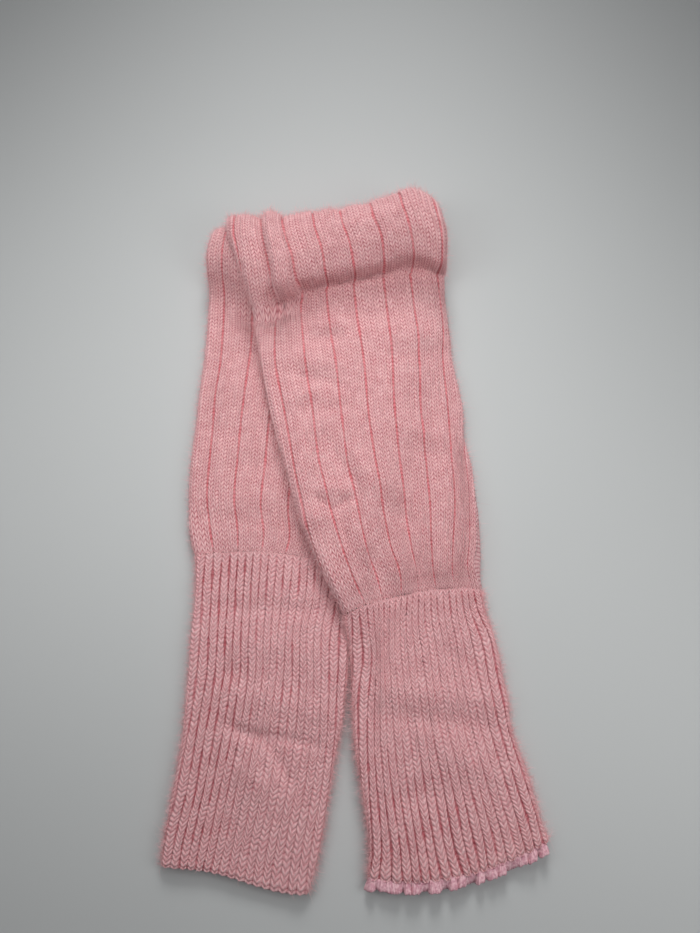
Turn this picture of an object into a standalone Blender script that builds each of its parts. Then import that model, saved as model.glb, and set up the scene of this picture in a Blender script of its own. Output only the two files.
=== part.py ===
"""Pair of knitted leg warmers, lying one over the other with their tops folded under.

Each leg is a flattened tube: a wide-rib body (five plain wales and one purl groove)
joined to a narrow-rib cuff.  The bodies lie flat, climb over a rounded solid that
stands for their tucked-under tops, and turn down behind it.  The cuff of the upper
leg ends in a ruffled overlocked edging.  Sizes are millimetres until a mesh is made.
"""
import math
from collections import namedtuple

import bmesh
import bpy

# ---------------------------------------------------------------- driving sizes, mm
PAIR_NAME = "leg_warmer_pair"
MM = 0.001
CENTRE = (-1.1, 3.2)          # what is taken off every x and y to centre the pair

WALES = 78                    # columns of stitches round a leg
RIB_REPEAT = 6                # five plain wales and one purl groove on a body
WALL = 2.5                    # thickness of one knitted wall
LEAST_SLIT = 0.9              # least room between the two walls of a flat leg
BODY_GROOVE = 1.2             # depth of a purl groove on a body
CUFF_GROOVE = 1.1             # depth of a groove on a cuff
SEAM_GAP = 0.3                # room between pieces that meet
LAYER_GAP = 0.7               # room between the two legs where one lies on the other
INNER_POINTS = 26             # points round the plain inside of a leg
SHARP_ANGLE = 30.0            # degrees; flatter joins between faces are shaded smooth

UNDER_THICKNESS = 7.0         # lower leg, both walls
DROP_WIDTH = 34.0             # how far the upper leg takes to come down to the floor
DROP_OUTSET = 2.5             # the drop starts this far outside the lower leg's edge
LIFT_START = -100.0          # y where the upper leg's edge leaves the floor
LIFT_END = -60.0              # y where it lies fully on the lower leg

ROLL_DEPTH = 52.0             # depth that the roll's own profile is drawn for
RIDGE_WALE = 3.0              # middle of the raised fold on the roll
RIDGE_HALF = 3.2              # its half width, in wales
RIDGE_PINCH = 0.6             # how far its sides close in, for each mm it stands up
PINCH_CORE = 2.5              # wales over which the pinch builds up
PINCH_REACH = 8.0             # and over which it dies away again
SOFT_WALE = -2.5              # left of this wale the roll has its soft thickness
SOFT_SPAN = 3.0               # wales over which it becomes the full one

RUFFLE_WAVES = 26             # all round the hem
RUFFLE_POINTS = 6             # points for each wave
RUFFLE_LENGTH = 5.2
RUFFLE_THICKNESS = 1.6
RUFFLE_SWING = 2.0            # swing of a wave on the upper wall
RUFFLE_SWING_UNDER = 0.4      # and where the hem lies on the floor
RUFFLE_LIFT = 0.7

TUCK_RANGE = (-95.0, 38.0)    # x range of the tucked tops
TUCK_SECTIONS = 15
TUCK_START_ROW = 2            # row of the roll where the tucked tops begin
TUCK_FOOT = 15.5              # how far the tucked layers reach under the legs' ends
TUCK_LAYERS = ((1.8, 0.6), (2.2, 2.4), (4.0, 3.0), (4.6, 4.8), (6.2, 5.4), (7.2, 7.4))

# A line of a leg: its ends, its thickness, the wales at its two edges and, as marks, how
# far across the upper wall every sixth wale lies (0 where it is not on that wall).
Flat = namedtuple("Flat", "left_x left_y right_x right_y bow thick first last marks sway",
                  defaults=(0.0,))
Turn = namedtuple("Turn", "left_x right_x soft thick first last ridge marks")
Row = namedtuple("Row", "left_x right_x line soft thick first last ridge marks roll")

# Where the roll stands: front crease, rear reach and height factor, along x.
Stand = namedtuple("Stand", "x crease rear height")
STANDS = (
    Stand(-112, 160, 201, 0.72), Stand(-104, 156, 207, 0.86), Stand(-97, 152, 210, 0.95),
    Stand(-88, 144, 211, 1.01), Stand(-76, 136, 211, 1.06), Stand(-64, 132, 210, 1.10),
    Stand(-52, 135, 210, 1.10), Stand(-42, 146, 210, 1.08), Stand(-24, 157, 210, 1.10),
    Stand(-5, 163, 211, 1.11), Stand(14, 168, 215, 1.15), Stand(28, 170, 223, 1.23),
    Stand(39, 171, 228, 1.30), Stand(50, 172, 223, 1.23), Stand(62, 171, 213, 1.08),
    Stand(72, 169, 208, 0.97),
)

# The roll's profile, seen from the side: distance behind the crease, height, slope.
Roll = namedtuple("Roll", "back height slope")
ROLL = (
    Roll(-2.0, 0.0, 0), Roll(4.8, 1.2, 20), Roll(10.9, 4.7, 40), Roll(15.3, 10.0, 58),
    Roll(19.0, 16.5, 50), Roll(23.5, 20.2, 26), Roll(28.5, 21.7, 13), Roll(33.5, 22.5, 3),
    Roll(37.8, 21.8, -28), Roll(40.8, 19.0, -62), Roll(41.8, 15.4, -84), Roll(41.8, 11.2, -91),
    Roll(41.3, 6.4, -98),
)

UNDER_CUFF = (
    Flat(-111.0, -211.5, -28.4, -225.2, 1.0, 6.6, -2.6, 33.4,
         (.089, .249, .399, .569, .734, .905), 1.8),
    Flat(-109.8, -196.0, -22.2, -203.0, 0.5, 6.4, -2.8, 34.6,
         (.090, .249, .403, .554, .715, .876), 0.8),
    Flat(-107.2, -176.0, -17.2, -176.0, 0.5, 6.5, -3.2, 34.7,
         (.104, .254, .406, .562, .720, .878)),
    Flat(-103.9, -145.0, -12.0, -147.0, 0.0, 6.5, -3.9, 35.7,
         (.104, .265, .419, .552, .715, .866)),
    Flat(-102.9, -110.0, -6.4, -113.0, 0.0, 6.4, -4.3, 37.0,
         (.128, .279, .426, .549, .695, .824, .975)),
    Flat(-102.4, -82.0, -5.9, -86.0, 0.0, 6.4, -4.4, 36.6,
         (.125, .273, .416, .551, .686, .818, .985)),
    Flat(-102.0, -58.0, -9.0, -64.0, -2.0, 6.5, -4.3, 34.1, (.121, .280, .429, .581, .738, .880)),
    Flat(-104.0, -36.3, -11.6, -42.3, -5.5, 6.8, -5.0, 32.8, (.145, .307, .462, .621, .776, .932)),
)
UNDER_BODY = (
    Flat(-104.1, -36.0, -11.4, -42.0, -5.5, 6.8, -5.0, 32.8, (.145, .307, .462, .621, .776, .932)),
    Flat(-109.2, -18.5, -7.6, -28.0, -2.0, 7.0, -5.2, 31.9, (.151, .320, .480, .640, .800, .950)),
    Flat(-110.8, 6.0, -1.0, -10.0, 0.0, 7.0, -4.6, 34.4, (.122, .283, .436, .593, .748, .905)),
    Flat(-110.6, 38.0, 11.0, 24.0, 0.0, 7.0, -4.4, 36.7,
         (.111, .259, .408, .555, .703, .850, .980)),
    Flat(-109.5, 72.0, 21.0, 62.0, 0.0, 7.0, -4.0, 38.2,
         (.100, .247, .388, .530, .670, .810, .945)),
    Flat(-107.4, 104.0, 30.0, 100.0, 0.0, 7.0, -4.1, 38.4,
         (.096, .238, .380, .522, .664, .806, .945)),
    Flat(-106.8, 130.0, 37.0, 134.0, 8.0, 7.0, -3.9, 38.7,
         (.090, .231, .372, .514, .656, .798, .940)),
)
UNDER_ROLL_MARKS = (.087, .225, .365, .505, .645, .785, .920)
UNDER_ROLL = (
    Turn(-107.4, 42.0, 7.0, 7.0, -4.0, 39.2, 0.0, UNDER_ROLL_MARKS),
    Turn(-107.6, 43.0, 7.0, 7.0, -4.0, 39.2, 0.0, UNDER_ROLL_MARKS),
    Turn(-107.9, 44.0, 7.0, 7.0, -4.0, 39.2, 0.0, UNDER_ROLL_MARKS),
    Turn(-108.1, 45.0, 7.0, 7.0, -4.0, 39.2, 0.0, UNDER_ROLL_MARKS),
    Turn(-107.9, 46.0, 7.0, 7.0, -4.0, 39.2, 0.0, UNDER_ROLL_MARKS),
    Turn(-107.7, 46.0, 7.0, 7.0, -4.0, 39.2, 0.0, UNDER_ROLL_MARKS),
    Turn(-107.2, 46.0, 7.0, 7.0, -4.0, 39.2, 0.0, UNDER_ROLL_MARKS),
    Turn(-106.0, 45.0, 7.0, 7.0, -4.0, 39.2, 0.0, UNDER_ROLL_MARKS),
    Turn(-104.4, 44.0, 7.0, 7.0, -4.0, 39.2, 0.0, UNDER_ROLL_MARKS),
    Turn(-103.0, 43.0, 7.0, 7.0, -4.0, 39.2, 0.0, UNDER_ROLL_MARKS),
    Turn(-102.0, 42.0, 7.0, 7.0, -4.0, 39.2, 0.0, UNDER_ROLL_MARKS),
    Turn(-101.4, 41.0, 7.0, 7.0, -4.0, 39.2, 0.0, UNDER_ROLL_MARKS),
    Turn(-101.0, 40.0, 7.0, 7.0, -4.0, 39.2, 0.0, UNDER_ROLL_MARKS),
)
OVER_CUFF = (
    Flat(5.0, -218.5, 108.0, -199.5, 8.5, 6.8, 5.0, 44.2,
         (0, .018, .203, .351, .521, .654, .809, .949)),
    Flat(6.4, -203.0, 103.9, -188.0, 6.0, 6.8, 4.6, 43.3,
         (0, .034, .190, .333, .491, .656, .809, .965)),
    Flat(3.0, -178.0, 99.3, -167.0, 3.0, 6.8, 4.0, 43.6,
         (0, .058, .191, .331, .489, .642, .790, .955)),
    Flat(-1.6, -150.0, 92.0, -141.0, 2.0, 6.8, 2.8, 43.4,
         (0, .094, .214, .356, .499, .649, .795, .961)),
    Flat(-3.6, -122.0, 88.2, -114.0, 2.0, 6.8, 2.2, 43.7,
         (0, .125, .233, .357, .495, .635, .779, .951)),
    Flat(-4.6, -100.0, 84.6, -87.0, 1.0, 6.8, 1.1, 43.7,
         (0, .164, .244, .356, .495, .640, .772, .949)),
    Flat(-6.4, -86.0, 80.4, -71.0, -1.5, 6.9, 0.1, 45.0,
         (0, .170, .273, .384, .508, .647, .780, .924)),
    Flat(-8.6, -74.8, 78.7, -57.8, -6.5, 7.0, -0.7, 46.1,
         (.020, .176, .295, .420, .540, .661, .789, .914)),
)
OVER_BODY = (
    Flat(-8.8, -74.5, 78.7, -57.5, -6.5, 7.0, -0.7, 46.1,
         (.020, .176, .295, .420, .540, .661, .789, .914)),
    Flat(-18.8, -55.0, 79.0, -43.0, -2.0, 9.4, -0.7, 47.6,
         (.018, .185, .331, .468, .573, .674, .790, .885)),
    Flat(-30.0, -32.0, 80.1, -25.0, 2.0, 9.8, -1.2, 47.4,
         (.040, .199, .331, .468, .583, .695, .814, .906)),
    Flat(-38.5, -8.0, 79.4, 0.0, 1.0, 8.8, -2.0, 46.6,
         (.054, .195, .338, .471, .591, .721, .854, .932)),
    Flat(-43.2, 8.5, 77.4, 15.0, 0.5, 8.4, -2.3, 45.0,
         (.058, .196, .340, .480, .603, .738, .875, .951)),
    Flat(-47.5, 25.0, 76.0, 30.0, 0.0, 8.2, -2.9, 43.5,
         (.062, .193, .338, .482, .610, .748, .885, .956)),
    Flat(-57.5, 60.0, 72.6, 66.0, 0.0, 8.0, -3.4, 41.2,
         (.083, .223, .365, .500, .634, .768, .909)),
    Flat(-65.0, 95.0, 67.6, 104.0, 0.0, 8.0, -3.6, 39.6,
         (.083, .233, .384, .527, .672, .807, .934)),
    Flat(-69.8, 120.0, 65.8, 140.0, -5.0, 7.8, -4.7, 38.5,
         (.105, .239, .375, .517, .672, .811, .959)),
)
OVER_ROLL_MARKS = (.161, .281, .408, .528, .666, .794, .949)
OVER_ROLL = (
    Turn(-72.4, 63.6, 8.2, 7.4, -5.8, 38.1, 0.8,
         (.125, .251, .378, .517, .669, .810, .949)),
    Turn(-74.0, 63.8, 9.6, 6.2, -6.1, 38.2, 1.5,
         (.136, .266, .389, .526, .675, .818, .951)),
    Turn(-75.8, 64.2, 10.4, 5.6, -6.1, 38.2, 3.0,
         (.140, .280, .400, .534, .679, .824, .953)),
    Turn(-78.0, 64.4, 10.4, 7.4, -6.0, 38.3, 5.6,
         (.143, .293, .411, .542, .682, .825, .952)),
    Turn(-81.0, 63.8, 10.2, 12.8, -6.4, 38.1, 6.2,
         (.152, .297, .419, .547, .686, .821, .954)),
    Turn(-84.4, 64.0, 9.0, 10.4, -7.0, 37.9, 5.4,
         (.157, .292, .416, .541, .682, .809, .955)),
    Turn(-87.6, 63.8, 8.4, 9.4, -7.5, 37.9, 4.8,
         (.159, .287, .411, .535, .674, .799, .951)),
    Turn(-90.4, 62.4, 8.2, 9.0, -7.8, 38.0, 4.4,
         (.161, .285, .409, .529, .666, .794, .948)),
    Turn(-92.0, 60.0, 8.0, 9.0, -8.2, 38.0, 4.0,
         (.161, .281, .408, .527, .666, .794, .949)),
    Turn(-92.4, 57.0, 8.0, 8.8, -8.2, 38.0, 3.4, OVER_ROLL_MARKS),
    Turn(-92.4, 54.0, 7.8, 8.4, -8.2, 38.0, 2.6, OVER_ROLL_MARKS),
    Turn(-92.0, 52.0, 7.6, 8.0, -8.2, 38.0, 1.8, OVER_ROLL_MARKS),
    Turn(-92.0, 51.0, 7.4, 7.6, -8.2, 38.0, 1.2, OVER_ROLL_MARKS),
)

# name of a finish: base colour, roughness, metallic
COLOURS = {
    "baby_pink_knit": ((0.76, 0.42, 0.45, 1.0), 0.95, 0.0),
    "mauve_overlock": ((0.56, 0.25, 0.32, 1.0), 0.85, 0.0),
}


# ---------------------------------------------------------------- small helpers
def mix(start, end, amount):
    """Return the value that lies amount of the way from start to end."""
    return start + (end - start) * amount


def ease(amount):
    """Return a smooth step from 0 to 1, held flat outside that range."""
    amount = min(1.0, max(0.0, amount))
    return amount * amount * (3.0 - 2.0 * amount)


def curve_value(keys, values, key):
    """Read a smooth curve through (keys, values) at key; keys rise."""
    key = min(max(key, keys[0]), keys[-1])
    last = len(keys) - 1
    index = next(i for i in range(last) if key <= keys[i + 1])
    before, after = max(index - 1, 0), min(index + 2, last)
    span = keys[index + 1] - keys[index]
    amount = (key - keys[index]) / span
    slope_in = (values[index + 1] - values[before]) / (keys[index + 1] - keys[before]) * span
    slope_out = (values[after] - values[index]) / (keys[after] - keys[index]) * span
    square, cube = amount ** 2, amount ** 3
    return (values[index] * (2 * cube - 3 * square + 1) + slope_in * (cube - 2 * square + amount)
            + values[index + 1] * (3 * square - 2 * cube) + slope_out * (cube - square))


# ---------------------------------------------------------------- where the cloth lies
def under_edge(y):
    """Return the x of the lower leg's right-hand edge at y."""
    rows = UNDER_CUFF[:-1] + UNDER_BODY
    return curve_value([row.right_y for row in rows], [row.right_x for row in rows], y)


def over_rest(x, y):
    """Return the height at which the upper leg's underside lies at (x, y)."""
    beyond = (x - under_edge(y) - DROP_OUTSET) / DROP_WIDTH
    lifted = ease((y - LIFT_START) / (LIFT_END - LIFT_START))
    return (UNDER_THICKNESS + LAYER_GAP) * lifted * (1.0 - ease(beyond))


def roll_point(index, x, offset):
    """Return (y, z) of the roll's row at x, offset outwards from the lowest cloth."""
    keys = [stand.x for stand in STANDS]
    crease = curve_value(keys, [stand.crease for stand in STANDS], x)
    rear = curve_value(keys, [stand.rear for stand in STANDS], x)
    tall = curve_value(keys, [stand.height for stand in STANDS], x)
    deep = (rear - crease) / ROLL_DEPTH
    row = ROLL[index]
    slope = math.radians(row.slope)
    outward = (-math.sin(slope) * tall, math.cos(slope) * deep)
    length = math.hypot(*outward)
    y = crease + row.back * deep + outward[0] / length * offset
    z = row.height * tall + outward[1] / length * offset
    return y, z


# ---------------------------------------------------------------- a leg's cross-section
def stadium(part, width, thick):
    """Return (across, height) on the upper half of a round-ended flat section."""
    radius = thick / 2
    quarter = math.pi / 2 * radius
    length = 2 * quarter + width - 2 * radius
    reach = part * length
    if reach < quarter:
        angle = reach / radius
        return radius * (1 - math.cos(angle)), radius * (1 + math.sin(angle))
    if reach > length - quarter:
        angle = (length - reach) / radius
        return width - radius * (1 - math.cos(angle)), radius * (1 + math.sin(angle))
    return radius + reach - quarter, thick


def section_side(row, wale):
    """Return (part, is_upper): how far across a wale lies, and on which wall."""
    turned = (wale - row.first) % WALES
    face = row.last - row.first
    if turned > face:
        return 1.0 - (turned - face) / (WALES - face), False
    marks = [(RIB_REPEAT * index, share) for index, share in enumerate(row.marks) if share > 0]
    keys = [row.first] + [key for key, _ in marks] + [row.last]
    shares = [0.0] + [share for _, share in marks] + [1.0]
    return curve_value(keys, shares, row.first + turned), True


def section_thickness(row, wale):
    """Return a row's thickness at a wale; left of the raised fold it is the soft one."""
    beyond = ease((wale_near(wale, RIDGE_WALE) - SOFT_WALE) / SOFT_SPAN)
    return mix(row.soft, row.thick, beyond)


def outer_section(row, wale):
    """Return (across, height) of a wale on the plain outline of a row's section."""
    part, is_upper = section_side(row, wale)
    thick = section_thickness(row, wale)
    across, height = stadium(part, row.right_x - row.left_x, thick)
    return across, height if is_upper else thick - height


def inner_section(row, wale, inset):
    """Return (across, height) of a wale on the plain section drawn in by inset."""
    thick = section_thickness(row, wale)
    width = row.right_x - row.left_x
    flat = max(thick - 2 * inset, LEAST_SLIT)
    across = outer_section(row, wale)[0]
    from_side = min(across, width - across)
    if from_side < 2 * inset:
        from_side = inset + from_side ** 2 / (4 * inset)
    across = from_side if across < width / 2 else width - from_side
    radius = flat / 2
    short = max(0.0, radius - (from_side - inset))
    rise = math.sqrt(max(0.0, radius ** 2 - short ** 2))
    return across, thick / 2 + (rise if section_side(row, wale)[1] else -rise)


def wale_near(wale, centre):
    """Return the wale's number, counted from the side of centre that is nearer."""
    return (wale - centre + WALES / 2) % WALES - WALES / 2 + centre


def groove_depth(wale, cuff):
    """Return how deep the knit lies under its crowns at a wale."""
    if cuff:
        return CUFF_GROOVE * (1.0 if wale % 2 == 0 else 0.0)
    step = wale % RIB_REPEAT
    step = min(step, RIB_REPEAT - step)
    return BODY_GROOVE * max(0.0, 1.0 - step / 0.8) + 0.25 * BODY_GROOVE * (1 - step / 3) ** 2


def fold_rise(row, wale):
    """Return (rise, shift) that the raised fold gives the upper wall at a wale."""
    away = wale_near(wale, RIDGE_WALE) - RIDGE_WALE
    rise = math.cos(math.pi / 2 * min(1.0, abs(away) / RIDGE_HALF)) ** 2
    pinch = math.tanh(away / PINCH_CORE) * math.exp(-(away / PINCH_REACH) ** 2)
    return row.ridge * rise, -row.ridge * RIDGE_PINCH * pinch


def row_y(row, x):
    """Return the y of a flat row's line at x; the line sags by its bow."""
    left_y, right_y, bow, sway = row.line
    part = (x - row.left_x) / (row.right_x - row.left_x)
    sag = bow * 4 * part * (1 - part) - sway * math.sin(2 * math.pi * (part - 0.1))
    return mix(left_y, right_y, part) - sag


def cloth_point(row, wale, outside, cuff):
    """Return the (x, y, z) of a wale on the outside or the inside of a leg."""
    across, height = outer_section(row, wale) if outside else inner_section(row, wale, WALL)
    upper = ease((height / section_thickness(row, wale) - 0.5) / 0.3)
    rise, shift = fold_rise(row, wale)
    if outside:
        height -= groove_depth(wale, cuff) * upper
    x = row.left_x + across + shift * upper
    height += rise * upper
    return x, row_y(row, x) if row.roll is None else row.roll, height


def place(point, is_over):
    """Return a cloth point in the pair's frame; its y may be a row of the roll."""
    x, y, height = point
    if isinstance(y, int):
        base = UNDER_THICKNESS + LAYER_GAP if is_over else 0.0
        y, z = roll_point(y, x, base + height)
    else:
        z = height + (over_rest(x, y) if is_over else 0.0)
    return ((x - CENTRE[0]) * MM, (y - CENTRE[1]) * MM, z * MM)


# ---------------------------------------------------------------- meshes
def zip_rings(mesh, ring, ring_keys, other, other_keys):
    """Fill the band between two closed rings whose points carry rising keys."""
    first, second = 0, 0
    while first < len(ring) or second < len(other):
        next_first = ring_keys[first + 1] if first + 1 < len(ring) else WALES + ring_keys[0]
        here_second = other_keys[second] if second < len(other) else WALES + other_keys[0]
        next_second = other_keys[second + 1] if second + 1 < len(other) else WALES + other_keys[0]
        here, there = ring[first % len(ring)], other[second % len(other)]
        before_middle = next_first <= (here_second + next_second) / 2
        if second >= len(other) or (first < len(ring) and before_middle):
            first += 1
            mesh.faces.new((here, there, ring[first % len(ring)]))
        else:
            second += 1
            mesh.faces.new((here, there, other[second % len(other)]))


def join_rings(mesh, ring, after):
    """Join two rings with the same number of points by a band of quads."""
    count = len(ring)
    for index in range(count):
        following = (index + 1) % count
        mesh.faces.new((ring[index], ring[following], after[following], after[index]))


def finish_mesh(mesh, name, colour, collection):
    """Turn a filled bmesh into a named object with its own finish."""
    mesh.normal_update()
    bmesh.ops.triangulate(mesh, faces=mesh.faces[:], quad_method="SHORT_EDGE")
    bmesh.ops.recalc_face_normals(mesh, faces=mesh.faces[:])
    data = bpy.data.meshes.new(name)
    mesh.to_mesh(data)
    mesh.free()
    data.shade_smooth()
    data.set_sharp_from_angle(angle=math.radians(SHARP_ANGLE))
    data.materials.append(knit_material(name, colour))
    part = bpy.data.objects.new(name, data)
    collection.objects.link(part)
    return part


def knit_material(name, colour):
    """Make a part's own material from a named finish."""
    base, roughness, metallic = COLOURS[colour]
    material = bpy.data.materials.new(name)
    material.use_nodes = True
    shader = material.node_tree.nodes["Principled BSDF"]
    shader.inputs["Base Color"].default_value = base
    shader.inputs["Roughness"].default_value = roughness
    shader.inputs["Metallic"].default_value = metallic
    return material


def leg_rows(flats, turns=()):
    """Return a leg's rows: the flat ones, then those that go over the roll."""
    rows = [Row(f.left_x, f.right_x, (f.left_y, f.right_y, f.bow, f.sway), f.thick, f.thick,
                f.first, f.last, 0.0, f.marks, None) for f in flats]
    rows += [Row(t.left_x, t.right_x, None, t.soft, t.thick, t.first, t.last, t.ridge, t.marks,
                 index) for index, t in enumerate(turns)]
    return rows


def outer_wales(cuff):
    """Return the wale numbers that carry the points of a leg's outside."""
    if cuff:
        return [float(wale) for wale in range(WALES)]
    steps = (0.0, 0.8, 1.9, 3.0, 4.1, 5.2)
    return [repeat * RIB_REPEAT + step for repeat in range(WALES // RIB_REPEAT) for step in steps]


def knit_tube(name, rows, cuff, is_over, collection):
    """Build one length of leg: a ribbed outside, a plain inside and two open ends."""
    outer_keys = outer_wales(cuff)
    inner_keys = [WALES * index / INNER_POINTS for index in range(INNER_POINTS)]
    mesh = bmesh.new()
    outer_rings, inner_rings = [], []
    for row in rows:
        outer = [place(cloth_point(row, wale, True, cuff), is_over) for wale in outer_keys]
        inner = [place(cloth_point(row, wale, False, cuff), is_over) for wale in inner_keys]
        outer_rings.append([mesh.verts.new(point) for point in outer])
        inner_rings.append([mesh.verts.new(point) for point in inner])
    for index in range(len(rows) - 1):
        join_rings(mesh, outer_rings[index], outer_rings[index + 1])
        join_rings(mesh, inner_rings[index + 1], inner_rings[index])
    for end in (0, -1):
        zip_rings(mesh, outer_rings[end], outer_keys, inner_rings[end], inner_keys)
    return finish_mesh(mesh, name, "baby_pink_knit", collection)


def hem_edging(name, row, collection):
    """Build the ruffled edging that runs all round the upper cuff's hem."""
    count = RUFFLE_WAVES * RUFFLE_POINTS
    mesh = bmesh.new()
    rings = []
    for index in range(count):
        wale = row.first + WALES * index / count
        across, height = inner_section(row, wale, WALL / 2)
        outward = stadium_normal(row, wale)
        upper = ease((height / row.thick - 0.35) / 0.3)
        swing = mix(RUFFLE_SWING_UNDER, RUFFLE_SWING, upper)
        wave = swing * math.sin(2 * math.pi * index / RUFFLE_POINTS) + RUFFLE_LIFT * upper
        wave = max(wave, -0.3) if upper < 0.5 else wave
        corners = []
        for reach, side in ((0, 1), (1, 1), (1, -1), (0, -1)):
            out = side * RUFFLE_THICKNESS / 2 + wave * reach
            x = row.left_x + across + outward[0] * out
            y = row_y(row, x) - SEAM_GAP - RUFFLE_LENGTH * reach
            z = height + outward[1] * out
            corners.append(mesh.verts.new(place((x, y, z), False)))
        rings.append(corners)
    for index in range(count):
        join_rings(mesh, rings[index], rings[(index + 1) % count])
    return finish_mesh(mesh, name, "mauve_overlock", collection)


def stadium_normal(row, wale):
    """Return the outward direction (across, up) of a row's section at a wale."""
    before = inner_section(row, wale - 0.2, WALL / 2)
    after = inner_section(row, wale + 0.2, WALL / 2)
    along = (after[0] - before[0], after[1] - before[1])
    length = math.hypot(*along)
    return (-along[1] / length, along[0] / length)


def tuck_outline(x):
    """Return the side outline, as (y, z), of the tucked tops at x, toe first."""
    top = [roll_point(index, x, -LAYER_GAP) for index in range(TUCK_START_ROW, len(ROLL))]
    end_y, end_z = roll_point(len(ROLL) - 1, x, 0.0)
    far_y, far_z = roll_point(len(ROLL) - 1, x, TUCK_FOOT)
    drop = LAYER_GAP
    foot = [(end_y, end_z - drop), (mix(end_y, far_y, 0.5), mix(end_z, far_z, 0.5) - drop),
            (far_y - 0.5, max(far_z - drop, 0.5)), (far_y - 0.5, 0.0)]
    toe_y = top[0][0] - 1.0
    return top + foot + [(toe_y, 0.0)]


def tucked_tops(name, collection):
    """Build the rounded solid of the tucked tops, its two ends in nested layers."""
    start, end = TUCK_RANGE
    middle_x = [mix(start, end, index / (TUCK_SECTIONS - 1)) for index in range(TUCK_SECTIONS)]
    sections = [(x, tuck_outline(x)) for x in middle_x]
    mesh = bmesh.new()
    loops = []
    for x, outline in end_layers(*sections[0], -1)[::-1] + sections + end_layers(*sections[-1], 1):
        loops.append([mesh.verts.new(((x - CENTRE[0]) * MM, (y - CENTRE[1]) * MM, z * MM))
                      for y, z in outline])
    for index in range(len(loops) - 1):
        join_rings(mesh, loops[index], loops[index + 1])
    mesh.faces.new(loops[0])
    mesh.faces.new(loops[-1])
    return finish_mesh(mesh, name, "baby_pink_knit", collection)


def end_layers(x, outline, side):
    """Return the nested sections that close one end of the tucked tops."""
    centre_y = sum(y for y, _ in outline) / len(outline)
    tallest = max(z for _, z in outline)
    layers = []
    for reach, inset in TUCK_LAYERS:
        shrink = 1.0 - inset / tallest
        ring = [(mix(centre_y, y, shrink), z * shrink) for y, z in outline]
        layers.append((x + side * reach, ring))
    return layers


# ---------------------------------------------------------------- the pair
def clear_scene():
    """Remove whatever objects the file opens with."""
    for item in list(bpy.data.objects):
        bpy.data.objects.remove(item, do_unlink=True)


def build_pair():
    """Build every piece of the pair into its own collection."""
    collection = bpy.data.collections.new(PAIR_NAME)
    bpy.context.scene.collection.children.link(collection)
    knit_tube("under_leg_cuff", leg_rows(UNDER_CUFF), True, False, collection)
    knit_tube("under_leg_body", leg_rows(UNDER_BODY, UNDER_ROLL), False, False, collection)
    knit_tube("over_leg_cuff", leg_rows(OVER_CUFF), True, True, collection)
    knit_tube("over_leg_body", leg_rows(OVER_BODY, OVER_ROLL), False, True, collection)
    hem_edging("over_leg_hem_edging", leg_rows(OVER_CUFF)[0], collection)
    tucked_tops("tucked_tops", collection)


clear_scene()
build_pair()
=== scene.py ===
"""Looks of a pair of baby-pink knitted leg warmers, laid one over the other.

Each leg is a flattened tube of real stitches: a wide-rib body (five plain wales and one
purl groove) on a narrow-rib cuff.  Both tops are folded under into a soft roll.  Sizes
are millimetres, as a knitter notes them, until a mesh is made.
"""

import logging
import math
from collections.abc import Sequence
from dataclasses import dataclass, field
from enum import Enum
from typing import NamedTuple

import bpy
import numpy as np
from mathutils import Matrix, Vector


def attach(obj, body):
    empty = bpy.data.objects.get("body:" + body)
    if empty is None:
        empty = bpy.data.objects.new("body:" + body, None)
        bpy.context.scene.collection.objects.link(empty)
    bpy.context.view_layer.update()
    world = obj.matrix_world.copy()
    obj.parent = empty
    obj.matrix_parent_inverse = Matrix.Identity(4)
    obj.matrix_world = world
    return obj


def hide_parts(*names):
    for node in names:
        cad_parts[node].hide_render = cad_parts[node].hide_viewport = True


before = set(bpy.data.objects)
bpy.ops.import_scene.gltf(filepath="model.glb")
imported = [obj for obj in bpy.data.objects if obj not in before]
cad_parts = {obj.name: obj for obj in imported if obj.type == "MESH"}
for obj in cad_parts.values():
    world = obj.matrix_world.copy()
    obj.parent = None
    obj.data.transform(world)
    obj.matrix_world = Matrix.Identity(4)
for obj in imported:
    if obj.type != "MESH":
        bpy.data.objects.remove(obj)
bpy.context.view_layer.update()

LOG = logging.getLogger("leg_warmers")

Array = np.ndarray
Amount = Array | float
Material = bpy.types.Material
Piece = bpy.types.Object
Colour = tuple[float, float, float]
Socket = bpy.types.NodeSocket

MM = 0.001
TINY = 1e-9
TAU = 2 * math.pi
CENTRE = (-1.1, 3.2, 0.0)     # what is taken off every point to centre the pair
WALES = 78                    # columns of stitches round a leg
WALL = 2.5                    # one knitted wall
LEAST_SLIT = 0.9              # least room between the walls of a flat leg
LEAST_COVER = 0.5             # least depth of stitch left over a wall's inside
LAYER_GAP = 0.7               # room between the legs where one lies on the other
UNDER_THICKNESS = 7.0         # lower leg, both walls
BODY_REPEAT = 6               # wales in one wide rib: five plain, one purl
WALE_PITCH = 3.7              # relaxed width of one wale of the bodies


# ------------------------------------------------------------------ small helpers
def mix(start: Amount, end: Amount, amount: Amount) -> Amount:
    """Return the value that lies amount of the way from start to end."""
    return start + (end - start) * amount


def ease(amount: Amount) -> Array:
    """Return a smooth step from 0 to 1, held flat outside that range."""
    amount = np.clip(amount, 0.0, 1.0)
    return amount * amount * (3.0 - 2.0 * amount)


def bell(distance: Amount, width: float) -> Array:
    """Return a soft hill of height 1 that dies away over width."""
    return np.exp(-(distance / width) ** 2)


def unit(vectors: Array) -> Array:
    """Return the vectors, which lie along the last axis, at length 1."""
    return vectors / np.maximum(np.linalg.norm(vectors, axis=-1, keepdims=True), TINY)


def round_ring(points: Array) -> Array:
    """Return the step from each point's left neighbour to its right one, round its ring."""
    return np.roll(points, -1, axis=1) - np.roll(points, 1, axis=1)


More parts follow.
